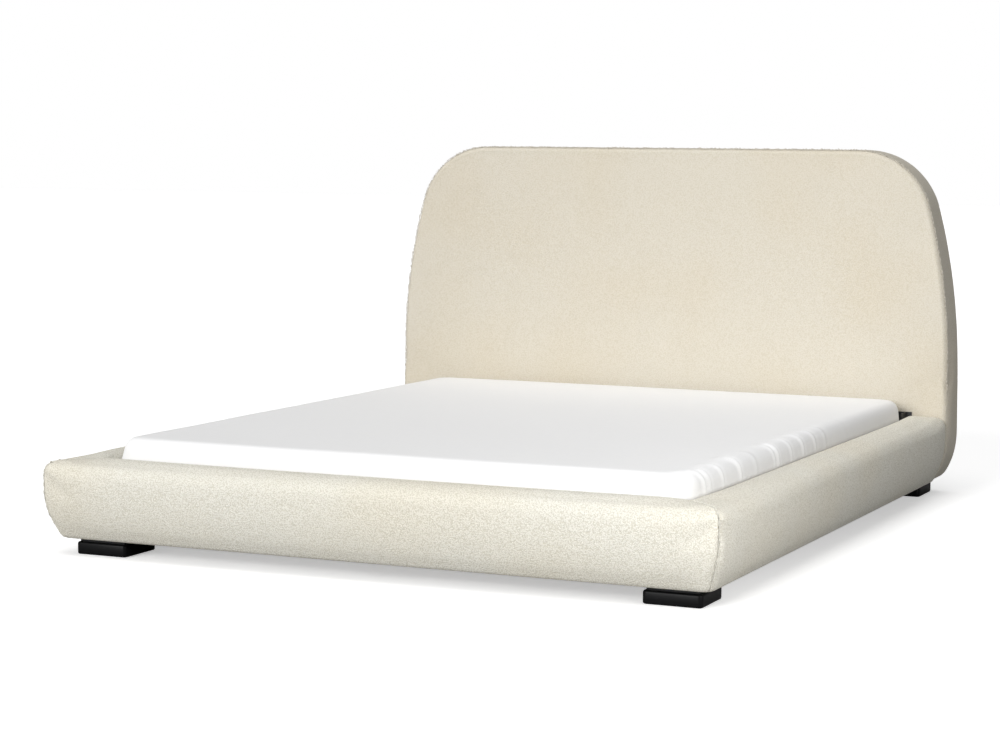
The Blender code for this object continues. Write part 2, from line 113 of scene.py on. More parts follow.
class CoverSizes(PropertyGroup):
    """Shapes of the padded headboard and rails."""

    rail_hem: length(
        "Inner hem", "Height of the cloth's lower edge inside the rails", RAIL_TOP - 0.090)
    inner_edge: length("Inner top edge", "Radius of a rail's inner top edge", 0.018, min=0.005)
    outer_edge: length("Outer top edge", "Radius of a rail's outer top edge", 0.037, min=0.005)
    tuck: length("Tuck", "How far the outer face runs in at the bottom", 0.043, min=0.0)
    tuck_rise: length("Tuck height", "Height over which the outer face runs in", 0.143, min=0.01)
    corner: length(
        "Foot corners", "Plan radius of the two padded corners at the foot", 0.040, min=0.01)
    seam_depth: length(
        "Seam depth", "How deep a corner seam pulls into the padding", 0.0035, min=0.0)
    head_corner: length(
        "Headboard corners", "Radius of the headboard's top corners", 0.250, min=0.05)
    head_lean: FloatProperty(
        name="Headboard lean", description="Angle by which the sides draw in at the top",
        default=math.radians(15), subtype="ANGLE")
    head_lean_start: length("Lean start", "Height at which the sides begin to draw in", 0.400)
    front_edge: length("Headboard front edge", "Radius round the front of the headboard", 0.020)
    back_edge: length("Headboard back edge", "Radius round the back of the headboard", 0.016)
    head_hem: length("Back hem", "Width of the cloth turned over the headboard's back", 0.045)
    swell: length("Swell", "How far the padding may push the cloth out", 0.0055, min=0.0)
    loop: length(
        "Yarn loop", "Radius of the yarn loops that stand up along a seam", 0.0026, min=0.0005)


class BeddingSizes(PropertyGroup):
    """Shapes of the fitted sheet and the mattress."""

    corner: length("Corner", "Plan radius of the mattress corners", 0.070, min=0.01)
    edge: length("Top edge", "Radius of the sheet's rounded edges", 0.040, min=0.01)
    hem: length("Hem", "Width of sheet turned in under the mattress", 0.060, min=0.01)
    belly: length("Belly", "How far the sheet's sides stand out at mid height", 0.0045, min=0.0)
    left_belly: length(
        "Left belly", "How much further out the sheet's left side stands", 0.0085, min=0.0)
    fold: FloatProperty(
        name="Folds", description="Height of the folds down the right side",
        default=1.45, min=0.0, max=3.0)
    quilt: length(
        "Quilting", "Distance between the mattress cover's quilting lines", 0.090, min=0.02)


class BaseSizes(PropertyGroup):
    """Shapes of the slats, tapes and small fixings."""

    slats: IntProperty(
        name="Slats", description="Number of slats", default=SLAT_COUNT, min=1)
    pitch: length("Slat pitch", "Distance from one slat to the next", SLAT_PITCH)
    slat_edge: length("Slat edge", "Radius of a slat's long edges", 0.003)
    screw: length("Screw head", "Radius of a screw's head", 0.0045)
    staple: length("Staple", "Width of a staple", 0.010)
    staple_pitch: length("Staple pitch", "Distance from one staple to the next", 0.045)


class Colours(PropertyGroup):
    """Colours of the cloth and the fittings."""

    rails: colour("Rail cloth", "Colour of the looped cloth on the rails", (0.850, 0.830, 0.752))
    # The headboard's cloth is the rails' looped cloth made darker: a shaded copy of one
    # material, painted shade.
    headboard: colour(
        "Headboard cloth", "Colour of the looped cloth on the headboard", (0.605, 0.567, 0.490))
    sheet: colour("Sheet", "Colour of the fitted sheet", (0.880, 0.880, 0.882))
    timber: colour("Timber", "Colour of the pine", (0.780, 0.600, 0.385))
    feet: colour("Feet", "Colour of the moulded feet", (0.0050, 0.0050, 0.0055))


# --------------------------------------------------------------------------- node trees


class Signal:
    """An output in a node tree, so that maths on it reads as a plain expression."""

    def __init__(self, net, socket):
        self.net = net
        self.socket = socket

    def _maths(self, operation, first, second):
        return self.net.add("ShaderNodeMath", {"operation": operation}, {0: first, 1: second})

    def __add__(self, other):
        return self._maths("ADD", self, other)

    def __radd__(self, other):
        return self._maths("ADD", other, self)

    def __sub__(self, other):
        return self._maths("SUBTRACT", self, other)

    def __rsub__(self, other):
        return self._maths("SUBTRACT", other, self)

    def __mul__(self, other):
        return self._maths("MULTIPLY", self, other)

    def __rmul__(self, other):
        return self._maths("MULTIPLY", other, self)


class Net:
    """Builds the nodes of one finish or of one repeated shape."""

    def __init__(self, tree):
        self.tree = tree

    def add(self, kind, settings=None, sockets=None, out=0):
        """Add a node: its settings first, then its sockets' values or links."""
        made = self.tree.nodes.new(kind)
        for key, value in (settings or {}).items():
            setattr(made, key, value)
        for key, value in (sockets or {}).items():
            self._join(self._pick(made.inputs, key), value)
        return Signal(self, self._pick(made.outputs, out)) if len(made.outputs) else made

    def _pick(self, sockets, key):
        if isinstance(key, int):
            return sockets[key]
        found = [socket for socket in sockets if socket.name == key]
        usable = [socket for socket in found if socket.enabled]
        if not found:
            raise ValueError(f"there is no socket named {key}")
        return (usable or found)[0]

    def _join(self, socket, value):
        if isinstance(value, Signal):
            self.tree.links.new(value.socket, socket)
        elif hasattr(value, "__len__") and not isinstance(value, str):
            wanted = len(socket.default_value)
            value = tuple(value) + (1.0,) * (wanted - len(value))
            socket.default_value = value[:wanted]
        else:
            socket.default_value = value

    def other(self, signal, name):
        """Another output of the node that a signal comes from."""
        return Signal(self, self._pick(signal.socket.node.outputs, name))

    def point(self):
        return self.add("ShaderNodeTexCoord", out="Object")

    def scaled(self, vector, scale):
        return self.add("ShaderNodeMapping", {}, {"Vector": vector, "Scale": scale})

    def noise(self, vector, scale, detail=2.0, roughness=0.5, distortion=0.0):
        return self.add("ShaderNodeTexNoise", {}, {
            "Vector": vector, "Scale": scale, "Detail": detail, "Roughness": roughness,
            "Distortion": distortion})

    def cells(self, vector, scale):
        return self.add("ShaderNodeTexVoronoi", {}, {"Vector": vector, "Scale": scale})

    def shifted(self, vector, amount, scale, detail=1.0):
        """The vector pushed about by a coloured noise."""
        noise = self.add("ShaderNodeTexNoise", {}, {
            "Vector": vector, "Scale": scale, "Detail": detail}, out="Color")
        centred = self.add("ShaderNodeVectorMath", {"operation": "SUBTRACT"}, {
            0: noise, 1: (0.5, 0.5, 0.5)})
        sized = self.add("ShaderNodeVectorMath", {"operation": "SCALE"}, {
            0: centred, "Scale": amount})
        return self.add("ShaderNodeVectorMath", {"operation": "ADD"}, {0: vector, 1: sized})

    def ramp(self, factor, low, high):
        """The factor taken from low to high and turned into nought to one, smoothly."""
        return self.add("ShaderNodeMapRange", {"interpolation_type": "SMOOTHSTEP"}, {
            "Value": factor, "From Min": low, "From Max": high})

    def mix(self, factor, first, second, blend="MIX"):
        return self.add("ShaderNodeMix", {"data_type": "RGBA", "blend_type": blend}, {
            "Factor": factor, "A": first, "B": second}, out="Result")

    def random(self, low, high, seed):
        """A number or a vector drawn for each point."""
        kind = "FLOAT_VECTOR" if hasattr(high, "__len__") else "FLOAT"
        return self.add("FunctionNodeRandomValue", {"data_type": kind}, {
            "Min": low, "Max": high, "Seed": seed}, out="Value")

    def part(self, vector, axis):
        """One coordinate of a vector."""
        return self.add("ShaderNodeSeparateXYZ", {}, {0: vector}, out=axis)

    def wave(self, value, times):
        """A sine between nought and one of a value in metres, so many times a metre."""
        return self.add("ShaderNodeMath", {"operation": "SINE"}, {
            0: value * (2 * math.pi * times)}) * 0.5 + 0.5


def tinted(colour, factor):
    """A colour made lighter or darker, held below full white."""
    return tuple(min(1.0, channel * factor) for channel in colour)


def finish(name, draw, **fixed):
    """A finish: draw gets the net and returns the sockets that change over the surface."""
    made = bpy.data.materials.get(name)
    if made:
        return made
    made = bpy.data.materials.new(name)
    made.use_nodes = True
    shader = made.node_tree.nodes["Principled BSDF"]
    for key, value in fixed.items():
        shader.inputs[key.replace("_", " ").title().replace("Ior", "IOR")].default_value = value
    net = Net(made.node_tree)
    drawn = draw(net)
    height = drawn.pop("height", None)
    if height:
        signal, distance, strength = height
        drawn["Normal"] = net.add("ShaderNodeBump", {}, {
            "Strength": strength, "Distance": distance, "Height": signal})
    for key, value in drawn.items():
        net._join(shader.inputs[key], value)
    return made


# --------------------------------------------------------------------------- finishes


def looped_cloth(name, colour, depth=1.0):
    """Looped wool: small round curls of thick yarn, with painted shade of some depth in the pits
    between them.
    """

    def draw(net):
        point = net.point()
        curls = net.cells(point, 285.0)
        yarn = net.noise(point, 620.0, 1.0)
        wide = net.noise(point, 2.6, 1.0)
        mound = 1.0 - net.ramp(curls, 0.05, 0.80)
        height = mound * 0.75 + net.ramp(yarn, 0.30, 0.70) * 0.30
        shade = net.ramp(height, 0.05, 0.62)
        # Between the curls the colour darkens: painted shade in the pits. Depth sets how dark
        # that painted shade is and how deep the bump is.
        shaded = tinted(colour, 1 - 0.17 * depth)
        pit_shade = (shaded[0] * 1.02, shaded[1], shaded[2] * 0.94)
        base = net.mix(shade, pit_shade, tinted(colour, 1.03))
        warm = (0.985, 0.965, 0.930)
        base = net.mix(net.ramp(wide, 0.40, 0.75), base, warm, "MULTIPLY")
        return {
            "Base Color": base,
            "Roughness": 0.97 - shade * 0.09,
            "height": (height, 0.0018, 0.60 * depth),
        }

    return finish(name, draw, Sheen_Weight=0.05, Sheen_Roughness=0.6, Specular_IOR_Level=0.20)


def sheet_cotton(colour):
    """Fine plain-woven cotton with faint slubs."""

    def draw(net):
        point = net.point()
        slub = net.noise(net.scaled(point, (30.0, 900.0, 900.0)), 1.0, 2.0)
        cross = net.noise(net.scaled(point, (900.0, 30.0, 900.0)), 1.0, 2.0)
        crease = net.noise(net.shifted(point, 0.05, 4.0), 9.0, 3.0, 0.45)
        weave = slub * 0.5 + cross * 0.5
        tone = net.ramp(weave, 0.30, 0.70)
        return {
            "Base Color": net.mix(tone, tinted(colour, 0.975), tinted(colour, 1.01)),
            "Roughness": 0.80 + tone * 0.12,
            "height": (weave * 0.15 + crease * 1.1, 0.0016, 0.55),
        }

    return finish("sheet cotton", draw, Sheen_Weight=0.08, Specular_IOR_Level=0.30)


def mattress_ticking(pitch):
    """Knitted mattress cloth, quilted in diamonds, with painted shade along the quilting lines.
    """

    def draw(net):
        point = net.point()
        across = net.part(point, "X")
        along = net.part(point, "Y")
        first = net.wave(across + along, 0.5 / pitch)
        second = net.wave(across - along, 0.5 / pitch)
        puff = net.ramp(first, 0.0, 0.22) * net.ramp(second, 0.0, 0.22)
        knit = net.wave(across, 420.0) * net.wave(along + net.part(point, "Z"), 420.0)
        stitch = net.ramp(net.noise(point, 260.0, 2.0), 0.35, 0.65)
        # Where the puffs dip along the quilting lines the colour darkens: painted shade in the
        # creases. The knit's share is the cloth's own pattern.
        tone = puff * 0.75 + knit * 0.25
        return {
            "Base Color": net.mix(tone, (0.70, 0.69, 0.66), (0.87, 0.86, 0.83)),
            "Roughness": 0.86 + stitch * 0.10,
            "height": (puff * 1.0 + knit * 0.10 + stitch * 0.05, 0.0045, 0.9),
        }

    return finish("mattress ticking", draw, Sheen_Weight=0.1, Specular_IOR_Level=0.3)


def timber_finish(name, colour, scale):
    """Planed softwood; the scale is small along the grain."""

    def draw(net):
        point = net.point()
        bent = net.shifted(net.scaled(point, scale), 0.9, 0.55, 2.0)
        bands = net.wave(net.noise(bent, 1.0, 2.0, distortion=0.35), 7.0)
        fibre = net.noise(net.scaled(point, tuple(part * 9.0 for part in scale)), 1.0, 3.0)
        knots = 1.0 - net.ramp(net.cells(net.scaled(point, tuple(
            part * 0.10 for part in scale)), 1.0), 0.02, 0.11)
        late = net.ramp(bands, 0.52, 0.98)
        pale = tinted(colour, 1.18)
        base = net.mix(late * 0.75, pale, tinted(colour, 0.72))
        base = net.mix(net.ramp(fibre, 0.40, 0.75) * 0.25, base, tinted(colour, 0.55))
        base = net.mix(knots * 0.8, base, tinted(colour, 0.30))
        return {
            "Base Color": base,
            "Roughness": 0.62 + fibre * 0.22,
            "height": (fibre * 0.6 + late * 0.4, 0.0005, 0.5),
        }

    return finish(name, draw, Specular_IOR_Level=0.4)


def chip_finish():
    """Raw particle board: pressed chips of many tints."""

    def draw(net):
        point = net.scaled(net.shifted(net.point(), 0.004, 120.0), (1.0, 1.0, 2.2))
        chips = net.cells(point, 260.0)
        tint = net.add("ShaderNodeSeparateColor", {}, {0: net.other(chips, "Color")}, out=0)
        fine = net.noise(point, 700.0, 2.0)
        base = net.mix(tint, (0.30, 0.19, 0.10), (0.62, 0.46, 0.28))
        base = net.mix(net.ramp(fine, 0.50, 0.72) * 0.4, base, (0.20, 0.12, 0.06))
        return {
            "Base Color": base,
            "Roughness": 0.80 + fine * 0.15,
            "height": (chips * 0.6 + fine * 0.4, 0.0007, 0.6),
        }

    return finish("particle board", draw)


def ply_finish():
    """Plywood: a rotary-cut face and thin layers in its edges."""

    def draw(net):
        point = net.point()
        layers = net.wave(net.part(point, "Y"), 330.0)
        grain = net.noise(net.scaled(point, (3.0, 40.0, 60.0)), 1.0, 4.0, 0.6, 1.2)
        tone = net.ramp(grain, 0.35, 0.68) * 0.7 + net.ramp(layers, 0.3, 0.7) * 0.3
        return {
            "Base Color": net.mix(tone, (0.46, 0.31, 0.18), (0.68, 0.52, 0.34)),
            "Roughness": 0.70 + grain * 0.15,
            "height": (grain, 0.0004, 0.5),
        }

    return finish("plywood", draw)


def powder_coat():
    """Black powder-coated steel with a fine orange peel and a few rubbed spots."""

    def draw(net):
        point = net.point()
        peel = net.noise(point, 950.0, 2.0)
        rubbed = net.ramp(net.noise(point, 38.0, 4.0, 0.7), 0.64, 0.78)
        base = net.mix(rubbed, (0.014, 0.014, 0.015), (0.060, 0.060, 0.062))
        return {
            "Base Color": base,
            "Roughness": 0.46 + peel * 0.12 - rubbed * 0.10,
            "height": (peel, 0.00025, 0.6),
        }

    return finish("black powder coat", draw, Specular_IOR_Level=0.5)


def zinc_plate():
    """Bright zinc plate with light scratches and dull patches."""

    def draw(net):
        point = net.point()
        dull = net.ramp(net.noise(point, 160.0, 3.0), 0.35, 0.70)
        scratch = net.noise(net.scaled(point, (2600.0, 300.0, 900.0)), 1.0, 2.0)
        return {
            "Base Color": net.mix(dull, (0.66, 0.67, 0.69), (0.46, 0.46, 0.45)),
            "Roughness": 0.24 + dull * 0.22 + scratch * 0.08,
            "Metallic": 1.0,
            "height": (scratch, 0.00008, 0.6),
        }

    return finish("zinc plate", draw)


def moulded_plastic(colour):
    """Smooth black moulded plastic, slightly glossy, with faint flow marks and scuffs."""

    def draw(net):
        point = net.point()
        flow = net.noise(net.scaled(point, (9.0, 9.0, 60.0)), 1.0, 3.0, 0.5, 0.8)
        scuff = net.ramp(net.noise(point, 210.0, 5.0, 0.75), 0.60, 0.74)
        base = net.mix(scuff * 0.5, colour, (0.011, 0.011, 0.012))
        return {
            "Base Color": base,
            "Roughness": 0.30 + flow * 0.10 + scuff * 0.20,
            "height": (flow * 0.6 + scuff * 0.2, 0.0003, 0.5),
        }

    return finish("moulded plastic", draw, Specular_IOR_Level=0.12)


def lining_cloth():
    """Thin black bonded lining, pressed with a grid of tiny dots."""

    def draw(net):
        point = net.point()
        dots = net.wave(net.part(point, "X"), 380.0) * net.wave(net.part(point, "Z"), 380.0)
        hairs = net.noise(net.scaled(net.shifted(point, 0.01, 60.0), (300.0, 300.0, 1400.0)),
                          1.0, 3.0)
        slack = net.noise(point, 7.0, 3.0, 0.45)
        tone = net.ramp(hairs, 0.35, 0.70)
        return {
            "Base Color": net.mix(tone, (0.022, 0.022, 0.022), (0.068, 0.068, 0.069)),
            "Roughness": 0.80 + tone * 0.15,
            "height": (dots * 0.10 + hairs * 0.12 + slack * 1.4, 0.0020, 0.7),
        }

    return finish("black lining cloth", draw, Specular_IOR_Level=0.3)


def woven_tape():
    """Pale flat webbing in a herringbone weave."""

    def draw(net):
        point = net.point()
        across = net.part(point, "X")
        along = net.part(point, "Y")
        rib = net.wave(along + net.wave(across, 60.0) * 0.004, 420.0)
        warp = net.wave(across, 700.0)
        tone = rib * 0.6 + warp * 0.4
        return {
            "Base Color": net.mix(tone, (0.52, 0.51, 0.46), (0.80, 0.79, 0.74)),
            "Roughness": 0.82 + warp * 0.12,
            "height": (tone, 0.0006, 0.8),
        }

    return finish("woven tape", draw)


def stitch_yarn(name, colour):
    """Twisted yarn of stitches and loops."""

    def draw(net):
        point = net.point()
        twist = net.noise(point, 900.0, 2.0)
        tone = net.ramp(twist, 0.35, 0.65)
        return {
            "Base Color": net.mix(tone, tinted(colour, 0.78), tinted(colour, 1.04)),
            "Roughness": 0.90 + tone * 0.08,
            "height": (twist, 0.0004, 0.6),
        }

    return finish(name, draw, Sheen_Weight=0.12, Specular_IOR_Level=0.25)


# --------------------------------------------------------------------------- mesh helpers


def sizes():
    return bpy.context.scene.bed_covers


def bedding():
    return bpy.context.scene.bed_bedding


def base():
    return bpy.context.scene.bed_base


def colours():
    return bpy.context.scene.bed_colours


def piece_from(name, points, faces, material, smooth=True):
    """A mesh object at the origin whose faces point outwards."""
    mesh = bpy.data.meshes.new(name)
    mesh.from_pydata([tuple(point) for point in points], [], faces)
    mesh.update()
    made = bpy.data.objects.new(name, mesh)
    bpy.context.scene.collection.objects.link(made)
    if material:
        mesh.materials.append(material)
    if smooth:
        mesh.shade_smooth()
    return made


def face_out(piece):
    """Point the faces of a closed mesh outwards."""
    data = bmesh.new()
    data.from_mesh(piece.data)
    bmesh.ops.recalc_face_normals(data, faces=data.faces)
    data.to_mesh(piece.data)
    data.free()
    piece.data.update()


def strip(first, second):
    """Quads between two equally long closed rows of vertex numbers."""
    count = len(first)
    return [(first[i], first[(i + 1) % count], second[(i + 1) % count], second[i])
            for i in range(count)]


def next_ring(points, faces, previous, line):
    """Add a closed row of points, joined to the row before, and give its vertex numbers."""
    first = len(points)
    points += line
    ring = list(range(first, len(points)))
    if previous:
        faces += strip(previous, ring)
    return ring


def along_line(points, count):
    """A line of points taken again at count + 1 even distances."""
    points = np.asarray(points, float)
    steps = np.linalg.norm(np.diff(points, axis=0), axis=1)
    reach = np.concatenate([[0.0], np.cumsum(steps)])
    places = np.linspace(0.0, reach[-1], count + 1)
    return np.stack([np.interp(places, reach, points[:, k]) for k in range(points.shape[1])], 1)


def circle(centre, radius, start, end, steps):
    """Points on an arc in a plane, the angles in degrees."""
    turn = np.radians(np.linspace(start, end, steps + 1))
    return np.stack([centre[0] + radius * np.cos(turn), centre[1] + radius * np.sin(turn)], 1)


def patch(bottom, right, top, left):
    """A grid of points that fills four edge lines smoothly."""
    u = np.linspace(0, 1, len(bottom))[None, :, None]
    v = np.linspace(0, 1, len(right))[:, None, None]
    rows = (1 - v) * bottom[None] + v * top[None]
    columns = (1 - u) * left[:, None] + u * right[:, None]
    corners = ((1 - u) * (1 - v) * bottom[0] + u * (1 - v) * bottom[-1]
               + (1 - u) * v * top[0] + u * v * top[-1])
    return rows + columns - corners


def closed_line(edges):
    """Four edge lines as one closed line, in the order of a grid's rim."""
    bottom, right, top, left = edges
    return np.concatenate([bottom, right[1:], top[::-1][1:], left[::-1][1:-1]])


def patch_faces(rows, columns, first=0):
    """Quads of a grid whose vertices are numbered row by row."""
    faces = []
    for row in range(rows - 1):
        for column in range(columns - 1):
            corner = first + row * columns + column
            faces.append((corner, corner + 1, corner + columns + 1, corner + columns))
    return faces


def patch_rim(rows, columns, first=0):
    """Vertex numbers round a grid, starting at its first corner."""
    bottom = [first + column for column in range(columns)]
    right = [first + row * columns + columns - 1 for row in range(1, rows)]
    top = [first + (rows - 1) * columns + column for column in range(columns - 2, -1, -1)]
    left = [first + row * columns for row in range(rows - 2, 0, -1)]
    return bottom + right + top + left


def smooth_step(value, low, high):
    """Nought below low, one above high and a smooth rise between them."""
    share = np.clip((np.asarray(value, float) - low) / (high - low), 0.0, 1.0)
    return share * share * (3 - 2 * share)


def swelled(piece, held, limit, pressure, frames=20):
    """Blow the padding up as cloth: held is nought to one a vertex, limit a distance."""
    mesh = piece.data
    count = len(mesh.vertices)
    start = np.zeros(count * 3, np.float32)
    mesh.vertices.foreach_get("co", start)
    start = start.reshape(-1, 3)
    group = piece.vertex_groups.new(name="held")
    for index, weight in enumerate(held):
        if weight > 0.001:
            group.add([index], float(weight), "REPLACE")
    cloth = piece.modifiers.new("cloth", "CLOTH")
    settings = cloth.settings
    settings.quality = 4
    settings.mass = 0.25
    settings.tension_stiffness = 12
    settings.compression_stiffness = 12
    settings.shear_stiffness = 6
    settings.bending_stiffness = 0.8
    settings.vertex_group_mass = "held"
    settings.use_pressure = True
    settings.uniform_pressure_force = pressure
    settings.effector_weights.gravity = 0
    cloth.collision_settings.use_collision = False
    scene = bpy.context.scene
    for number in range(1, frames + 1):
        scene.frame_set(number)
    blown = piece.evaluated_get(bpy.context.evaluated_depsgraph_get()).to_mesh()
    ended = np.zeros(count * 3, np.float32)
    blown.vertices.foreach_get("co", ended)
    piece.modifiers.remove(cloth)
    piece.vertex_groups.remove(group)
    scene.frame_set(1)
    move = ended.reshape(-1, 3) - start
    reach = np.linalg.norm(move, axis=1, keepdims=True)
    limit = np.asarray(limit, float).reshape(-1, 1)
    move *= np.minimum(1.0, limit / np.maximum(reach, 1e-9))
    mesh.vertices.foreach_set("co", (start + move).astype(np.float32).ravel())
    mesh.update()


def subdivided(piece):
    """Smooth a piece by one level of subdivision."""
    made = piece.modifiers.new("smoothing", "SUBSURF")
    made.levels = made.render_levels = 1


def ridden(piece, body, stands_for=()):
    """Tie a finished piece to its body and the nodes it stands for."""
    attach(piece, body)
    if stands_for:
        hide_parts(*stands_for)


def softened(node, material, edge):
    """Stand a copy with slightly rounded edges in for a hard node."""
    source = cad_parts[node]
    mesh = source.data.copy()
    mesh.name = f"{node}_eased"
    data = bmesh.new()
    data.from_mesh(mesh)
    bmesh.ops.remove_doubles(data, verts=data.verts, dist=1e-5)
    bmesh.ops.dissolve_limit(
        data, angle_limit=math.radians(1.0), verts=data.verts, edges=data.edges)
    sharp = [item for item in data.edges
             if item.is_manifold and item.calc_face_angle(0.0) > math.radians(30)]
    bmesh.ops.bevel(data, geom=sharp, offset=edge, segments=2, profile=0.5,
                    affect="EDGES", clamp_overlap=True)
    bmesh.ops.triangulate(data, faces=[item for item in data.faces if len(item.verts) > 4])
    data.to_mesh(mesh)
    data.free()
    mesh.materials.clear()
    mesh.materials.append(material)
    mesh.shade_smooth()
    mesh.set_sharp_from_angle(angle=math.radians(32))
    made = bpy.data.objects.new(f"{node}_eased", mesh)
    bpy.context.scene.collection.objects.link(made)
    ridden(made, "frame", (node,))


# --------------------------------------------------------------------------- repeated shapes


SOCKETS = {float: "NodeSocketFloat", int: "NodeSocketInt", type(None): "NodeSocketObject"}


def new_tree(name, **inputs):
    """A Geometry Nodes tree with a mesh in, a mesh out and named sizes."""
    tree = bpy.data.node_groups.new(name, "GeometryNodeTree")
    tree.interface.new_socket("Geometry", in_out="INPUT", socket_type="NodeSocketGeometry")
    for label, value in inputs.items():
        socket = tree.interface.new_socket(
            label, in_out="INPUT", socket_type=SOCKETS[type(value)])
        if value is not None:
            socket.default_value = value
    tree.interface.new_socket("Geometry", in_out="OUTPUT", socket_type="NodeSocketGeometry")
    net = Net(tree)
    entry = tree.nodes.new("NodeGroupInput")
    given = {socket.name: Signal(net, socket) for socket in entry.outputs if socket.name}
    return tree, net, given


def end_tree(tree, net, geometry, material):
    """Turn a tree's instances into real geometry with its material, and send them out."""
    solid = net.add("GeometryNodeRealizeInstances", {}, {"Geometry": geometry})
    painted = net.add("GeometryNodeSetMaterial", {}, {"Geometry": solid, "Material": material})
    leave = tree.nodes.new("NodeGroupOutput")
    tree.links.new(painted.socket, leave.inputs[0])
    return tree


def grown(name, source, tree, values, material):
    """Run a tree on a source mesh with its inputs set, and keep the result as a plain mesh."""
    holder = bpy.data.objects.new(f"{name}_guide", source)
    bpy.context.scene.collection.objects.link(holder)
    nodes = holder.modifiers.new("shape", "NODES")
    nodes.node_group = tree
    for item in tree.interface.items_tree:
        if item.item_type == "SOCKET" and item.in_out == "INPUT" and item.name in values:
            nodes[item.identifier] = values[item.name]
    shown = holder.evaluated_get(bpy.context.evaluated_depsgraph_get())
    mesh = bpy.data.meshes.new_from_object(shown)
    mesh.name = name
    holder.modifiers.remove(nodes)
    bpy.data.objects.remove(holder)
    if not mesh.polygons:
        raise RuntimeError(f"{name} came out empty")
    mesh.materials.clear()
    mesh.materials.append(material)
    made = bpy.data.objects.new(name, mesh)
    bpy.context.scene.collection.objects.link(made)
    return made


def guide_lines(name, lines):
    """A mesh of open or closed lines; each is (points, closed)."""
    points = []
    edges = []
    for line, closed in lines:
        first = len(points)
        points += [tuple(point) for point in line]
        count = len(line)
        edges += [(first + i, first + i + 1) for i in range(count - 1)]
        if closed:
            edges.append((first + count - 1, first))
    mesh = bpy.data.meshes.new(name)
    mesh.from_pydata(points, edges, [])
    return mesh


def evenly_spaced(net, given):
    """Points along the guide lines, one pitch apart."""
    line = net.add("GeometryNodeMeshToCurve", {}, {"Mesh": given["Geometry"]})
    return net.add("GeometryNodeResampleCurve", {"mode": "LENGTH"}, {
        "Curve": line, "Length": given["Pitch"]})


def rod_tree(name, material):
    """Short rods laid end to end along the guide lines: staples and stitches."""
    tree, net, given = new_tree(name, Pitch=0.04, Length=0.01, Radius=0.0005)
    dots = evenly_spaced(net, given)
    rod = net.add("GeometryNodeMeshCylinder", {}, {
        "Vertices": 6, "Radius": given["Radius"], "Depth": given["Length"]})
    turn = net.add("FunctionNodeAlignRotationToVector", {"axis": "Z"}, {
        "Vector": net.add("GeometryNodeInputTangent")})
    laid = net.add("GeometryNodeInstanceOnPoints", {}, {
        "Points": dots, "Instance": rod, "Rotation": turn})
    return end_tree(tree, net, laid, material)


def loop_tree(name, material):
    """Loose yarn loops scattered along the guide lines."""
    tree, net, given = new_tree(
        name, Pitch=0.004, Loop=0.0026, Yarn=0.0009, Scatter=0.003, Seed=SEED)
    dots = evenly_spaced(net, given)
    push = net.random((-1.0,) * 3, (1.0,) * 3, given["Seed"])
    offset = net.add("ShaderNodeVectorMath", {"operation": "SCALE"}, {
        0: push, "Scale": given["Scatter"]})
    dots = net.add("GeometryNodeSetPosition", {}, {"Geometry": dots, "Offset": offset})
    ring = net.add("GeometryNodeCurvePrimitiveCircle", {}, {
        "Resolution": 7, "Radius": given["Loop"]})
    section = net.add("GeometryNodeCurvePrimitiveCircle", {}, {
        "Resolution": 4, "Radius": given["Yarn"]})
    curl = net.add("GeometryNodeCurveToMesh", {}, {"Curve": ring, "Profile Curve": section})
    turn = net.random((0.0,) * 3, (FULL_TURN,) * 3, given["Seed"] + 1)
    size = net.random(0.7, 1.25, given["Seed"] + 2)
    laid = net.add("GeometryNodeInstanceOnPoints", {}, {
        "Points": dots, "Instance": curl, "Rotation": turn, "Scale": size})
    smooth = net.add("GeometryNodeSetShadeSmooth", {}, {"Geometry": laid})
    return end_tree(tree, net, smooth, material)


def yarn_loops(name, lines, pitch, scale, seed, yarn):
    """Yarn loops that stand up along the lines of a seam."""
    loops = grown(name, guide_lines(f"{name}_lines", lines), loop_tree(name, yarn), {
        "Pitch": pitch, "Loop": sizes().loop * scale, "Yarn": 0.0008, "Scatter": 0.0018,
        "Seed": seed}, yarn)
    ridden(loops, "frame")


def rods(name, lines, values, material):
    """Staples or stitches along lines: values are their pitch, length and radius."""
    row = grown(name, guide_lines(f"{name}_lines", lines), rod_tree(name, material),
                dict(zip(("Pitch", "Length", "Radius"), values)), material)
    ridden(row, "frame")


def screw_head(radius):
    """A pan head with a sunk cross, its axis along Z and its seat at zero."""
    ring = [(radius * math.cos(math.radians(30 * k)), radius * math.sin(math.radians(30 * k)))
            for k in range(12)]
    slot = radius * 0.14
    arm = radius * 0.55
    cross = [(arm, slot), (slot, slot), (slot, arm), (-slot, arm), (-slot, slot), (-arm, slot),
             (-arm, -slot), (-slot, -slot), (-slot, -arm), (slot, -arm), (slot, -slot),
             (arm, -slot)]
    order = sorted(range(12), key=lambda k: math.atan2(cross[k][1], cross[k][0]) % (2 * math.pi))
    cross = [cross[k] for k in order]
    rise = radius * 0.62
    rows = [
        [(x, y, 0.0) for x, y in ring],
        [(x * 0.97, y * 0.97, rise * 0.45) for x, y in ring],
        [(x * 0.72, y * 0.72, rise * 0.92) for x, y in ring],
        [(x, y, rise) for x, y in cross],
        [(x * 0.9, y * 0.9, rise * 0.45) for x, y in cross],
    ]
    points = [point for row in rows for point in row]
    faces = []
    for row in range(4):
        faces += strip([row * 12 + k for k in range(12)], [row * 12 + 12 + k for k in range(12)])
    faces.append(tuple(48 + k for k in range(12)))
    faces.append(tuple(reversed(range(12))))
    made = piece_from("screw_head_guide", points, faces, None, smooth=False)
    face_out(made)
    return made


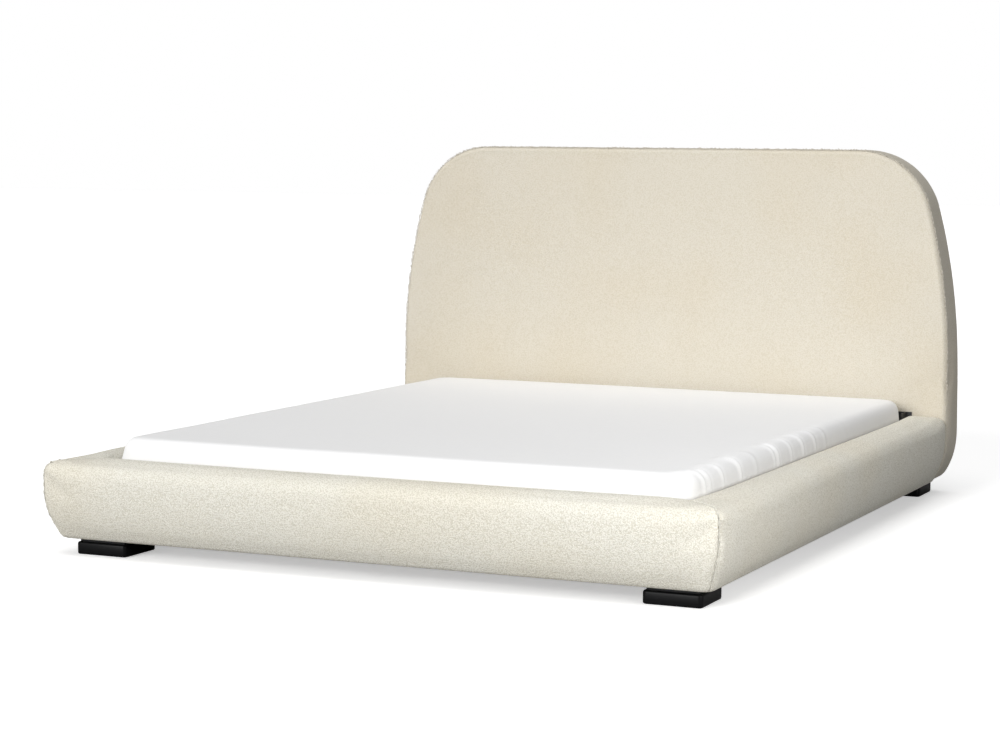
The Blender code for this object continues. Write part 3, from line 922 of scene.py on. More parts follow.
def screw_tree(material):
    """Screw heads set on guide points, each facing along its point's own direction."""
    tree, net, given = new_tree("screws", Head=None, Scale=1.0, Seed=SEED)
    facing = net.add("GeometryNodeInputNamedAttribute", {"data_type": "FLOAT_VECTOR"}, {
        "Name": "facing"}, out="Attribute")
    spin = net.random(0.0, FULL_TURN, given["Seed"])
    turn = net.add("FunctionNodeAlignRotationToVector", {"axis": "Z"}, {"Vector": facing})
    around = net.add("FunctionNodeAxisAngleToRotation", {}, {
        "Axis": (0.0, 0.0, 1.0), "Angle": spin})
    turn = net.add("FunctionNodeRotateRotation", {"rotation_space": "LOCAL"}, {
        "Rotation": turn, "Rotate By": around})
    head = net.add("GeometryNodeObjectInfo", {}, {"Object": given["Head"]}, out="Geometry")
    dots = net.add("GeometryNodeMeshToPoints", {}, {"Mesh": given["Geometry"]})
    laid = net.add("GeometryNodeInstanceOnPoints", {}, {
        "Points": dots, "Instance": head, "Rotation": turn, "Scale": given["Scale"]})
    return end_tree(tree, net, laid, material)


def slat_tree(material):
    """Slats: one planed board with eased edges, repeated along the bed."""
    tree, net, given = new_tree("slats", Count=SLAT_COUNT, Pitch=SLAT_PITCH, Length=1.6,
                                Width=0.08, Thickness=0.018, Edge=0.003)
    half = given["Length"] * 0.5
    start = net.add("ShaderNodeCombineXYZ", {}, {"X": 0.0 - half})
    end = net.add("ShaderNodeCombineXYZ", {}, {"X": half})
    spine = net.add("GeometryNodeCurvePrimitiveLine", {}, {"Start": start, "End": end})
    section = net.add("GeometryNodeCurvePrimitiveQuadrilateral", {}, {
        "Width": given["Width"], "Height": given["Thickness"]})
    section = net.add("GeometryNodeFilletCurve", {"mode": "POLY"}, {
        "Curve": section, "Count": 3, "Radius": given["Edge"]})
    board = net.add("GeometryNodeCurveToMesh", {}, {
        "Curve": spine, "Profile Curve": section, "Fill Caps": True})
    step = net.add("ShaderNodeCombineXYZ", {}, {"Y": given["Pitch"]})
    row = net.add("GeometryNodeMeshLine", {}, {"Count": given["Count"], "Offset": step})
    dots = net.add("GeometryNodeMeshToPoints", {}, {"Mesh": row})
    laid = net.add("GeometryNodeInstanceOnPoints", {}, {"Points": dots, "Instance": board})
    return end_tree(tree, net, laid, material)


# --------------------------------------------------------------------------- rails


def rail_paths():
    """The cloth's path round a rail and, point for point, the path that lies on the board."""
    shape = sizes()
    inner, outer = shape.inner_edge, shape.outer_edge
    knee = RAIL_BOTTOM + shape.tuck_rise
    share = np.linspace(0, 1, 10)
    tucked = np.stack([RAIL_WIDE - shape.tuck * share ** TUCK_POWER,
                       knee - shape.tuck_rise * share], 1)
    lip = 0.012
    cloth = np.concatenate([
        along_line([(0, shape.rail_hem), (0, RAIL_TOP - inner)], 4)[:-1],
        circle((inner, RAIL_TOP - inner), inner, 180, 90, 5)[:-1],
        along_line([(inner, RAIL_TOP), (RAIL_WIDE - outer, RAIL_TOP)], 5)[:-1],
        circle((RAIL_WIDE - outer, RAIL_TOP - outer), outer, 90, 0, 8)[:-1],
        along_line([(RAIL_WIDE, RAIL_TOP - outer), (RAIL_WIDE, knee)], 2)[:-1],
        tucked,
        along_line([(RAIL_WIDE - shape.tuck, RAIL_BOTTOM), (lip, RAIL_BOTTOM)], 6)[1:],
    ])
    board_out = BOARD_HIGH.x - SIDE_INNER + 0.0004
    board_top = BOARD_HIGH.z + 0.0004
    under = RAIL_BOTTOM + SWELL_ROOM
    lining = along_line([
        (SWELL_ROOM, shape.rail_hem), (SWELL_ROOM, board_top), (board_out, board_top),
        (board_out, under), (lip, under)], len(cloth) - 1)
    return cloth, lining


def path_normals(path):
    """Unit normals of a plane path, to its right as it runs."""
    along = np.gradient(path, axis=0)
    along /= np.linalg.norm(along, axis=1, keepdims=True)
    return np.stack([-along[:, 1], along[:, 0]], 1)


def corner_place(outward, degrees):
    """A plan point of the foot-right corner: 0 faces the foot and 90 faces the side."""
    radius = 0.006 + (sizes().corner - 0.006) * (max(outward, 0.0) / RAIL_WIDE) ** 1.5
    turn = math.radians(degrees)
    centre = outward - radius
    return (SIDE_INNER + centre + radius * math.sin(turn),
            -(FOOT_INNER + centre + radius * math.cos(turn)))


def rail_stations(rail):
    """Places along a rail, each with its distance to a seam as the third value.

    At a corner the first two are the share of the turn left and the side; along the straight
    they are None and the share of its length.
    """
    near = [0.0, 0.05, 0.12, 0.22, 0.36, 0.54, 0.76]
    reach = sizes().corner * math.radians(45)
    runs = 96
    if rail == "foot":
        left = [(share, -1, share * reach) for share in near]
        middle = [(None, k / runs, reach + min(k, runs - k) / runs * 2 * SIDE_INNER)
                  for k in range(runs + 1)]
        right = [(share, 1, share * reach) for share in reversed(near)]
        return left + middle + right
    corner = [(share, 1, share * reach) for share in near]
    end = [0.9985, 0.9955, 0.990]
    straight = [(None, k / runs, 1.0) for k in range(runs)] + [
        (None, share, 1.0) for share in reversed(end)] + [(None, 1.0, 1.0)]
    return corner + straight


def rail_point(rail, outward, station):
    """The plan place of a section point at a station."""
    kind, value, _ = station
    if rail == "foot":
        if kind is None:
            limit = corner_place(outward, 0.0)
            return (limit[0] * (2 * value - 1), limit[1])
        x, y = corner_place(outward, 45.0 * (1 - kind))
        return ((x - GAP * (1 - kind)) * value, y)
    side = -1 if rail == "left" else 1
    if kind is None:
        x, y = corner_place(outward, 90.0)
        return (side * x, y + (RAIL_END - y) * value)
    x, y = corner_place(outward, 45.0 + 45.0 * kind)
    return (side * x, y + GAP * (1 - kind))


def make_rail_pad(rail, material):
    shape = sizes()
    cloth, lining = rail_paths()
    normals = path_normals(cloth)
    height = cloth[:, 1]
    outward = cloth[:, 0]
    inside = (outward < 0.001) & (height < RAIL_TOP - shape.inner_edge)
    hold = np.where(inside, 1 - smooth_step(height, shape.rail_hem, shape.rail_hem + 0.05), 0.0)
    hold = np.maximum(hold, 1 - smooth_step(height, *BASE_BAND))
    stations = rail_stations(rail)
    points = []
    held = []
    limit = []
    count = len(cloth)
    for station in stations:
        seam = math.exp(-(station[2] / 0.007) ** 1.4)
        last = rail != "foot" and station[0] is None and station[1] > 0.98
        squeeze = float(smooth_step(station[1], 0.992, 1.0)) if last else 0.0
        for k in range(count):
            free = 1 - hold[k]
            inset = free * (SWELL_ROOM + shape.seam_depth * seam + 0.0030 * squeeze)
            place = cloth[k] - normals[k] * inset
            x, y = rail_point(rail, place[0], station)
            points.append((x, y, place[1]))
            held.append(max(hold[k], seam, squeeze))
            limit.append(shape.swell * free * (1 - seam) * (1 - squeeze))
        for place in lining:
            x, y = rail_point(rail, place[0], station)
            points.append((x, y, place[1]))
            held.append(1.0)
            limit.append(0.0)
    ring = 2 * count
    faces = []
    loop = list(range(count)) + list(range(ring - 1, count - 1, -1))
    for first in range(0, (len(stations) - 1) * ring, ring):
        faces += strip([first + k for k in loop], [first + ring + k for k in loop])
    for first, flip in ((0, False), ((len(stations) - 1) * ring, True)):
        for k in range(count - 1):
            face = (first + k, first + k + 1, first + count + k + 1, first + count + k)
            faces.append(tuple(reversed(face)) if flip else face)
    name = "foot_rail" if rail == "foot" else f"side_rail_{rail}"
    pad = piece_from(f"{name}_padding", points, faces, material)
    face_out(pad)
    swelled(pad, held, limit, PAD_PRESSURE)
    subdivided(pad)
    ridden(pad, "frame", (f"{name}_cover", f"{name}_foam"))


def seam_line(degrees, side):
    """The line of a corner seam over the cloth, from its inner top edge to the bottom."""
    cloth, _ = rail_paths()
    normals = path_normals(cloth)
    line = []
    for place, normal in zip(cloth, normals):
        if place[0] < 0.002 and place[1] < RAIL_TOP - 0.03:
            continue
        moved = place - normal * 0.0055
        x, y = corner_place(moved[0], degrees)
        if place[1] > RAIL_BOTTOM + 0.002:
            line.append((side * x, y, moved[1]))
    return line


class BED_OT_rail_pads(Operator):
    """Pad and cover the two side rails and the foot rail, with a sewn seam at each corner"""

    bl_idname = "bed.rail_pads"
    bl_label = "Rails"

    def execute(self, context):
        cloth = looped_cloth("looped cloth rails", colours().rails, 1.45)
        for rail in ("left", "right", "foot"):
            make_rail_pad(rail, cloth)
        yarn = stitch_yarn("rail yarn", colours().rails)
        seams = [(seam_line(45.0, side), False) for side in (-1, 1)]
        yarn_loops("rail_corner_loops", seams, 0.0030, 0.85, SEED, yarn)
        self.staples()
        return {"FINISHED"}

    def staples(self):
        """Staples through both hems of the rail cloth into the boards."""
        height = sizes().rail_hem + 0.008
        lines = []
        inside = SIDE_INNER - GAP
        for side in (-1, 1):
            lines.append(([(side * inside, -FOOT_INNER + 0.09, height),
                           (side * inside, RAIL_END - 0.09, height)], False))
            under = SIDE_INNER + HEM_IN
            lines.append(([(side * under, -0.92, RAIL_BOTTOM),
                           (side * under, 0.94, RAIL_BOTTOM)], False))
        for reach, front, z in ((0.72, -FOOT_INNER + GAP, height),
                                (0.70, -FOOT_INNER - HEM_IN, RAIL_BOTTOM)):
            lines.append(([(-reach, front, z), (reach, front, z)], False))
        values = (base().staple_pitch, base().staple, 0.0005)
        rods("rail_staples", lines, values, zinc_plate())


# --------------------------------------------------------------------------- headboard


def head_half(inset, counts):
    """The right half of the headboard's outline as three lines of (across, height) points."""
    shape = sizes()
    wide, tall = HEAD_HIGH.x, HEAD_HIGH.z
    share = np.linspace(1, 0, 16)
    side = [(wide - shape.tuck * s ** TUCK_POWER, RAIL_BOTTOM + shape.tuck_rise * (1 - s))
            for s in share]
    corner, lean = shape.head_corner, shape.head_lean
    lean_end = tall - corner * (1 - math.sin(lean))
    rise = lean_end - shape.head_lean_start
    drawn = math.tan(lean) * rise / 2
    side.append((wide, (side[-1][1] + shape.head_lean_start) / 2))
    side += [(wide - drawn * s ** 2, shape.head_lean_start + rise * s)
             for s in np.linspace(0, 1, 14)[:-1]]
    middle = (wide - drawn - corner * math.cos(lean), tall - corner)
    half_turn = (math.degrees(lean) + 90) / 2
    side += circle(middle, corner, math.degrees(lean), half_turn, 10).tolist()
    turn_point = len(side) - 1
    side += circle(middle, corner, half_turn, 90, 10)[1:].tolist()
    side = np.array(side)
    along = np.gradient(side, axis=0)
    along /= np.linalg.norm(along, axis=1, keepdims=True)
    moved = side - inset * np.stack([along[:, 1], -along[:, 0]], 1)
    floor = RAIL_BOTTOM + inset
    above = int(np.argmax(moved[:, 1] > floor))
    if above:
        low, high = moved[above - 1], moved[above]
        part = (floor - low[1]) / (high[1] - low[1])
        meet = low + part * (high - low)
        moved = np.concatenate([[meet], moved[above:]])
        turn_point = turn_point - above + 1
    top = np.array([[0.0, tall - inset]])
    bottom = along_line([(0.0, floor), tuple(moved[0])], counts[0])
    right = along_line(moved[:turn_point + 1], counts[1])
    over = along_line(np.concatenate([moved[turn_point:], top]), counts[0])
    eased = max(0.0, 0.018 - 0.3 * inset)
    return ease_corner(bottom, right, eased) + (over,)


def ease_corner(bottom, right, radius):
    """Round the corner where two lines meet."""
    joint = bottom[-1].copy()
    before = joint - np.array([radius, 0.0])
    way = right[2] - right[0]
    after = joint + way / np.linalg.norm(way) * radius
    middle = 0.25 * before + 0.5 * joint + 0.25 * after
    bottom = along_line(np.concatenate([
        bottom[bottom[:, 0] < before[0]], [before, 0.56 * before + 0.38 * joint + 0.06 * after,
                                           middle]]), len(bottom) - 1)
    keep = right[:, 1] > after[1]
    right = along_line(np.concatenate([
        [middle, 0.06 * before + 0.38 * joint + 0.56 * after, after], right[keep]]),
        len(right) - 1)
    return bottom, right


def head_edges(inset, counts):
    """Bottom, right, top and left lines of the whole outline for a grid."""
    bottom, right, over = head_half(inset, counts)
    flip = np.array([-1.0, 1.0])
    whole_bottom = np.concatenate([(bottom * flip)[::-1][:-1], bottom])
    whole_top = np.concatenate([over * flip, over[::-1][1:]])
    return whole_bottom, right, whole_top, right * flip


def head_rim(inset, counts):
    """The headboard's whole outline as one closed line."""
    return closed_line(head_edges(inset, counts))


def make_head_pad(material):
    shape = sizes()
    counts = HEAD_COUNTS
    thick = HEAD_HIGH.y - HEAD_LOW.y
    front, back, hem = shape.front_edge, shape.back_edge, shape.head_hem
    drop = SWELL_ROOM
    front_grid = patch(*head_edges(front, counts))
    rows, columns = front_grid.shape[:2]
    flat = front_grid.reshape(-1, 2)
    low_zone = 1 - smooth_step(flat[:, 1], *MATTRESS_BAND)
    inner_zone = np.where(np.abs(flat[:, 0]) < RAIL_HIGH.x, 1.0, 0.0)
    held = list(low_zone * inner_zone)
    limit = list(shape.swell * (1 - low_zone))
    points = [(x, HEAD_LOW.y + drop * (1 - low), z) for (x, z), low in zip(flat, low_zone)]
    faces = patch_faces(rows, columns)
    profile = [(front * (1 - math.sin(turn)), front * (1 - math.cos(turn)), 0.0)
               for turn in np.radians([18, 36, 54, 72, 90])]
    profile += [(0.0, depth, 0.0) for depth in np.linspace(front, thick - back, 8)[1:]]
    profile += [(back * (1 - math.cos(turn)), thick - back * (1 - math.sin(turn)), 0.0)
                for turn in np.radians([22, 45, 68, 90])]
    profile += [(back + (hem - back) * 0.5, thick, 1.0), (hem, thick, 1.0),
                (hem, thick - SWELL_ROOM, 1.0)]
    pocket = PANEL_LOW.z - RAIL_BOTTOM - 0.0004
    profile += [(pocket, thick - 0.0030, 1.0), (pocket, 0.10, 1.0),
                (pocket, PANEL_LOW.y - HEAD_LOW.y - 0.0004, 1.0)]
    previous = patch_rim(rows, columns)
    for inset, depth, fixed in profile:
        line = []
        for x, z in head_rim(inset + (0.0 if fixed else drop), counts):
            low = float(1 - smooth_step(z, *BASE_BAND))
            near = float(1 - smooth_step(depth, 0.0, 0.012)) if z < 0.30 else 0.0
            tight = max(fixed, low if z < 0.06 else 0.0, near)
            lift = 0.0 if fixed else drop * low
            line.append((x, HEAD_LOW.y + depth, max(z - lift, RAIL_BOTTOM)))
            held.append(tight)
            limit.append(shape.swell * 0.9 * (1 - tight))
        previous = next_ring(points, faces, previous, line)
    floor_inset, floor_depth, _ = profile[-1]
    first = len(points)
    floor = patch(*head_edges(floor_inset + 0.004, counts)).reshape(-1, 2)
    points += [(x, HEAD_LOW.y + floor_depth, z) for x, z in floor]
    held += [1.0] * len(floor)
    limit += [0.0] * len(floor)
    faces += strip(previous, patch_rim(rows, columns, first))
    faces += patch_faces(rows, columns, first)
    pad = piece_from("headboard_padding", points, faces, material)
    face_out(pad)
    swelled(pad, held, limit, PAD_PRESSURE)
    subdivided(pad)
    ridden(pad, "frame", ("headboard_cover", "headboard_foam"))


class BED_OT_headboard(Operator):
    """Pad and cover the headboard, with loose yarn loops along its front edge"""

    bl_idname = "bed.headboard"
    bl_label = "Headboard"

    def execute(self, context):
        # The headboard takes a darker copy of the rails' cloth, with shallower painted shade in
        # its pits, and its yarn follows: painted shade.
        make_head_pad(looped_cloth("looped cloth headboard", colours().headboard, 0.55))
        yarn = stitch_yarn("headboard yarn", tinted(colours().headboard, 1.05))
        inset = sizes().front_edge * 0.30 + SWELL_ROOM
        line = head_rim(inset, HEAD_COUNTS)[2 * HEAD_COUNTS[0] + 1:]
        edge = [(x, HEAD_LOW.y + inset, z) for x, z in line]
        yarn_loops("headboard_edge_loops", [(edge, False)], 0.0036, 0.8, SEED + 4, yarn)
        return {"FINISHED"}


class BED_OT_back_lining(Operator):
    """Stretch the black lining over the back of the headboard and stitch it to the hem"""

    bl_idname = "bed.back_lining"
    bl_label = "Back lining"

    def execute(self, context):
        low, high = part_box("headboard_back_cloth")
        hem = sizes().head_hem
        counts = (46, 44)
        grid = patch(*head_edges(hem + 0.0006, counts))
        rows, columns = grid.shape[:2]
        flat = grid.reshape(-1, 2)
        across = np.linspace(0, 1, columns)
        up = np.linspace(0, 1, rows)[:, None]
        edge = (smooth_step(np.minimum(across, 1 - across), 0.0, 0.06)
                * smooth_step(np.minimum(up, 1 - up), 0.0, 0.10))
        pull = np.sin(flat[:, 0] * 31.0 + flat[:, 1] * 9.0) * 0.35
        pull += np.sin(flat[:, 0] * 13.0 - flat[:, 1] * 23.0) * 0.65
        waves = (0.0004 + 0.00035 * pull) * edge.ravel()
        points = [(x, low.y + GAP + wave, z) for (x, z), wave in zip(flat, waves)]
        faces = [tuple(reversed(face)) for face in patch_faces(rows, columns)]
        lining = piece_from("headboard_lining", points, faces, lining_cloth())
        ridden(lining, "frame", ("headboard_back_cloth",))
        yarn = stitch_yarn("lining thread", (0.42, 0.40, 0.36))
        line = [(x, HEAD_HIGH.y + 0.0001, z) for x, z in head_rim(hem - 0.004, counts)]
        rods("lining_stitches", [(line, True)], (0.0125, 0.0075, 0.0006), yarn)
        return {"FINISHED"}


# --------------------------------------------------------------------------- bedding


def bed_rim(inset, counts, low, high):
    """A rounded oblong in plan as bottom, right, top and left lines."""
    radius = max(bedding().corner - inset, 0.004)
    left, right = low.x + inset, high.x - inset
    foot, head = low.y + inset, high.y - inset

    def arc(x, y, start, end):
        return circle((x, y), radius, start, end, 8)

    foot_left = arc(left + radius, foot + radius, 225, 270)
    foot_right = arc(right - radius, foot + radius, 270, 315)
    bottom = along_line(np.concatenate([foot_left, foot_right]), counts[0])
    side = np.concatenate([arc(right - radius, foot + radius, 315, 360),
                           arc(right - radius, head - radius, 0, 45)])
    right_line = along_line(side, counts[1])
    mirror = np.array([-1.0, 1.0])
    centre = np.array([low.x + high.x, 0.0])
    left_line = right_line * mirror + centre
    flip = np.array([1.0, -1.0])
    middle = np.array([0.0, low.y + high.y])
    top = bottom * flip + middle
    return bottom, right_line, top, left_line


SLACK = 0.0009  # how far the sheet's slow waves rise and fall
FOLD_REACH = 0.024  # how fast a fold straightens on its way down
FOLD_START = -0.022  # where a fold begins, measured down from the sheet's top edge
FOLDS = (
    # place at the hem, run-in along the edge, height, width
    (-0.905, 0.11, 0.0042, 0.0090),
    (-0.862, 0.14, 0.0036, 0.0085),
    (-0.765, 0.10, 0.0030, 0.0085),
    (-0.630, 0.12, 0.0046, 0.0095),
    (-0.500, 0.09, 0.0012, 0.0130),
    (-0.345, 0.10, 0.0028, 0.0075),
    (-0.312, 0.09, 0.0036, 0.0080),
    (-0.195, 0.08, 0.0026, 0.0085),
    (-0.085, 0.09, 0.0034, 0.0100),
    (0.030, 0.08, 0.0022, 0.0105),
    (0.125, 0.07, 0.0012, 0.0120),
    (0.330, 0.09, 0.0008, 0.0160),
)


def fold_height(along, down):
    """How far the sheet stands out at a place along the right side and down from its top."""
    total = np.zeros_like(along)
    for place, run, rise, width in FOLDS:
        back = run * np.exp(-(down - FOLD_START) / FOLD_REACH)
        slope = back / FOLD_REACH
        across = (along - (place - back)) / np.sqrt(1 + slope ** 2)
        ridge = np.exp(-(across / width) ** 2)
        valley = np.exp(-((across - 1.9 * width) / (1.2 * width)) ** 2)
        fade = smooth_step(down, FOLD_START, 0.012) * (1 - 0.55 * smooth_step(down, 0.06, 0.13))
        total += rise * (ridge - 0.45 * valley) * fade
    return total * bedding().fold


def slack(points):
    """Slow uneven slack in the cloth, the same every time."""
    x, y, z = points.T
    return (np.sin(7.1 * x + 3.3 * y + 0.7) * np.sin(5.3 * y - 2.1 * x + 1.9) * 0.6
            + np.sin(13.0 * y + 11.0 * x + 2.2) * 0.25 + np.sin(21.0 * z + 9.0 * y) * 0.15)


class BED_OT_mattress(Operator):
    """Make the quilted mattress that the sheet is stretched over"""

    bl_idname = "bed.mattress"
    bl_label = "Mattress"

    def execute(self, context):
        counts = (64, 80)
        low, high = CORE_LOW, CORE_HIGH
        edge = bedding().edge
        shrink = 0.0030
        grid = patch(*bed_rim(edge, counts, low, high))
        rows, columns = grid.shape[:2]
        flat = grid.reshape(-1, 2)
        turns = np.radians([22.5, 45, 67.5, 90])
        profile = [(edge * (1 - math.sin(t)), high.z - shrink - edge * (1 - math.cos(t)))
                   for t in turns]
        profile += [(0.0, z) for z in np.linspace(high.z - shrink - edge, low.z + edge, 4)[1:]]
        profile += [(edge * (1 - math.cos(t)), low.z + edge * (1 - math.sin(t)))
                    for t in turns[:-1]]
        points = [(x, y, high.z - shrink) for x, y in flat]
        faces = patch_faces(rows, columns)
        previous = patch_rim(rows, columns)
        for inset, z in profile:
            line = closed_line(bed_rim(inset + shrink, counts, low, high))
            previous = next_ring(points, faces, previous, [(x, y, z) for x, y in line])
        first = len(points)
        points += [(x, y, low.z + 0.0004) for x, y in flat]
        faces += [tuple(reversed(face)) for face in patch_faces(rows, columns, first)]
        faces += strip(previous, patch_rim(rows, columns, first))
        mattress = piece_from("mattress", points, faces, mattress_ticking(bedding().quilt))
        face_out(mattress)
        z = np.array(points)[:, 2]
        held = 1 - smooth_step(z, low.z + 0.002, low.z + 0.03)
        puff, pressure = 0.0018, 2.0
        swelled(mattress, held, puff * (1 - held), pressure, frames=10)
        subdivided(mattress)
        ridden(mattress, "mattress", ("mattress_core",))
        return {"FINISHED"}


class BED_OT_fitted_sheet(Operator):
    """Stretch the fitted sheet over the mattress, with soft folds down its right side"""

    bl_idname = "bed.fitted_sheet"
    bl_label = "Fitted sheet"

    def execute(self, context):
        counts = (90, 400)
        low, high = SHEET_LOW, SHEET_HIGH
        size = bedding()
        edge = size.edge
        power = 2 / 2.5
        turns = np.radians(np.linspace(0, 90, 9)[1:])
        profile = [(edge * (1 - math.sin(t) ** power),
                    high.z - edge * (1 - math.cos(t) ** power)) for t in turns]
        profile += [(0.0, z) for z in np.linspace(high.z - edge, low.z + edge, 8)[1:]]
        profile += [(edge * (1 - math.cos(t)), low.z + edge * (1 - math.sin(t)))
                    for t in np.radians([30, 60, 90])]
        profile += [(size.hem * 0.85, low.z), (size.hem, low.z)]
        grid = patch(*bed_rim(edge, counts, low, high))
        rows, columns = grid.shape[:2]
        flat = grid.reshape(-1, 2)
        from_edge = np.min([flat[:, 0] - low.x, high.x - flat[:, 0],
                            flat[:, 1] - low.y, high.y - flat[:, 1]], 0) - edge
        points = [np.column_stack([flat, np.full(len(flat), high.z)])]
        normals = [np.tile((0.0, 0.0, 1.0), (len(flat), 1))]
        downs = [-from_edge]
        faces = patch_faces(rows, columns)
        previous = patch_rim(rows, columns)
        total = len(flat)
        last = (edge, high.z)
        down = 0.0
        for number, (inset, z) in enumerate(profile):
            line = closed_line(bed_rim(inset, counts, low, high))
            down += math.dist(last, (inset, z))
            last = (inset, z)
            out = np.roll(line, -1, 0) - np.roll(line, 1, 0)
            out /= np.linalg.norm(out, axis=1, keepdims=True)
            out = np.stack([out[:, 1], -out[:, 0]], 1)
            before = profile[number - 1] if number else (edge, high.z)
            after = profile[min(number + 1, len(profile) - 1)]
            step = (after[0] - before[0], after[1] - before[1])
            length = math.hypot(*step) or 1.0
            normal = np.column_stack([out * (-step[1] / length),
                                      np.full(len(line), -step[0] / length)])
            points.append(np.column_stack([line, np.full(len(line), z)]))
            normals.append(normal)
            downs.append(np.full(len(line), down))
            ring = list(range(total, total + len(line)))
            total += len(line)
            faces += strip(previous, ring)
            previous = ring
        points = np.concatenate(points)
        normals = np.concatenate(normals)
        downs = np.concatenate(downs)
        middle = (high.z + low.z) / 2
        side = np.clip(1 - np.abs(points[:, 2] - middle + 0.01) / 0.085, 0, 1)
        belly = size.belly + size.left_belly * np.clip(-normals[:, 0], 0, 1)
        belly = belly * smooth_step(side, 0.0, 0.8)
        right = smooth_step(points[:, 0], high.x - edge - 0.055, high.x - edge + 0.01)
        folds = fold_height(points[:, 1], downs) * right * (downs < 0.19)
        loose = slack(points) * SLACK * (downs < 0.17)
        folds = np.where(points[:, 2] < 0.24, np.minimum(folds, 0.0012), folds)
        points = points + normals * (belly + folds + loose)[:, None]
        sheet = piece_from("fitted_sheet_cloth", points, faces, sheet_cotton(colours().sheet))
        face_out(sheet)
        ridden(sheet, "mattress", ("fitted_sheet",))
        return {"FINISHED"}


# --------------------------------------------------------------------------- base and fittings


class BED_OT_slatted_base(Operator):
    """Make the slats, the tapes that space them, the centre beam and its legs"""

    bl_idname = "bed.slatted_base"
    bl_label = "Slatted base"

    def execute(self, context):
        size = base()
        pine = timber_finish("slat pine", colours().timber, (1.6, 38.0, 38.0))
        start = bpy.data.meshes.new("slat_start")
        start.from_pydata([(0.0, 0.0, 0.0)], [], [])
        slats = grown("slats", start, slat_tree(pine), {
            "Count": size.slats, "Pitch": size.pitch, "Length": SLAT_HIGH.x - SLAT_LOW.x,
            "Width": SLAT_HIGH.y - SLAT_LOW.y, "Thickness": SLAT_HIGH.z - SLAT_LOW.z,
            "Edge": size.slat_edge}, pine)
        middle = (SLAT_LOW + SLAT_HIGH) / 2
        for vertex in slats.data.vertices:
            vertex.co += Vector((0.0, middle.y, middle.z))
        spread = np.array([vertex.co for vertex in slats.data.vertices])
        if abs(spread[:, 2].max() - SLAT_HIGH.z) > 0.001:
            raise RuntimeError("the slats don't lie flat in their places")
        slats.data.shade_smooth()
        slats.data.set_sharp_from_angle(angle=math.radians(40))
        nodes = [f"slat_{number + 1:02d}" for number in range(SLAT_COUNT)]
        ridden(slats, "frame", nodes)
        for side in ("left", "right"):
            self.tape(side)
        self.tape_staples()
        beam_pine = timber_finish("beam pine", colours().timber, (38.0, 1.6, 38.0))
        softened("centre_beam", beam_pine, 0.002)
        steel = powder_coat()
        for name in ("beam_hanger_foot", "beam_hanger_head"):
            softened(name, steel, 0.0005)
        for name in ("middle_leg_front", "middle_leg_rear"):
            painted(name, steel)
        for name in ("middle_glide_front", "middle_glide_rear"):
            painted(name, moulded_plastic(colours().feet))
        return {"FINISHED"}

    def tape(self, side):
        """One flat tape that lies over the slats and dips a little between them."""
        low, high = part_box(f"slat_tape_{side}")
        wide = np.linspace(low.x, high.x, 5)
        long = np.linspace(low.y, high.y, 190)
        phase = (long - SLAT_LOW.y) % SLAT_PITCH
        slat = SLAT_HIGH.y - SLAT_LOW.y
        gap = SLAT_PITCH - slat
        share = np.clip((phase - slat) / gap, 0, 1)
        dip = 0.0022 * np.sin(share * math.pi) ** 2 * (phase > slat)
        points = [(x, y, high.z - d) for y, d in zip(long, dip) for x in wide]
        tape = piece_from(f"slat_tape_{side}_webbing", points,
                          patch_faces(len(long), len(wide)), woven_tape())
        wall = tape.modifiers.new("wall", "SOLIDIFY")
        wall.thickness = high.z - low.z
        wall.offset = -1
        ridden(tape, "frame", (f"slat_tape_{side}",))

    def tape_staples(self):
        lines = []
        for side in ("left", "right"):
            low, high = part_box(f"slat_tape_{side}")
            for number in range(SLAT_COUNT):
                place = (SLAT_LOW.y + SLAT_HIGH.y) / 2 + number * SLAT_PITCH
                for shift in (-0.018, 0.018):
                    lines.append(([(low.x + 0.009, place + shift, high.z),
                                   (low.x + 0.021, place + shift, high.z)], False))
        rods("tape_staples", lines, (0.02, 0.010, 0.00035), zinc_plate())


def painted(node, material):
    """Give a node of the frame its finish and leave its shape alone."""
    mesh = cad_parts[node].data
    mesh.materials.clear()
    mesh.materials.append(material)


class BED_OT_timber(Operator):
    """Finish the rail boards and the timber inside the headboard"""

    bl_idname = "bed.timber"
    bl_label = "Boards and timber"

    def execute(self, context):
        chip = chip_finish()
        for name in ("side_rail_left_board", "side_rail_right_board", "foot_rail_board"):
            softened(name, chip, 0.0008)
        upright = timber_finish("post pine", colours().timber, (38.0, 38.0, 1.6))
        level = timber_finish("crossbar pine", colours().timber, (1.6, 38.0, 38.0))
        for name in ("headboard_post_left", "headboard_post_right"):
            softened(name, upright, 0.0015)
        for name in ("headboard_crossbar_top", "headboard_crossbar_bottom"):
            softened(name, level, 0.0015)
        painted("headboard_panel", ply_finish())
        return {"FINISHED"}


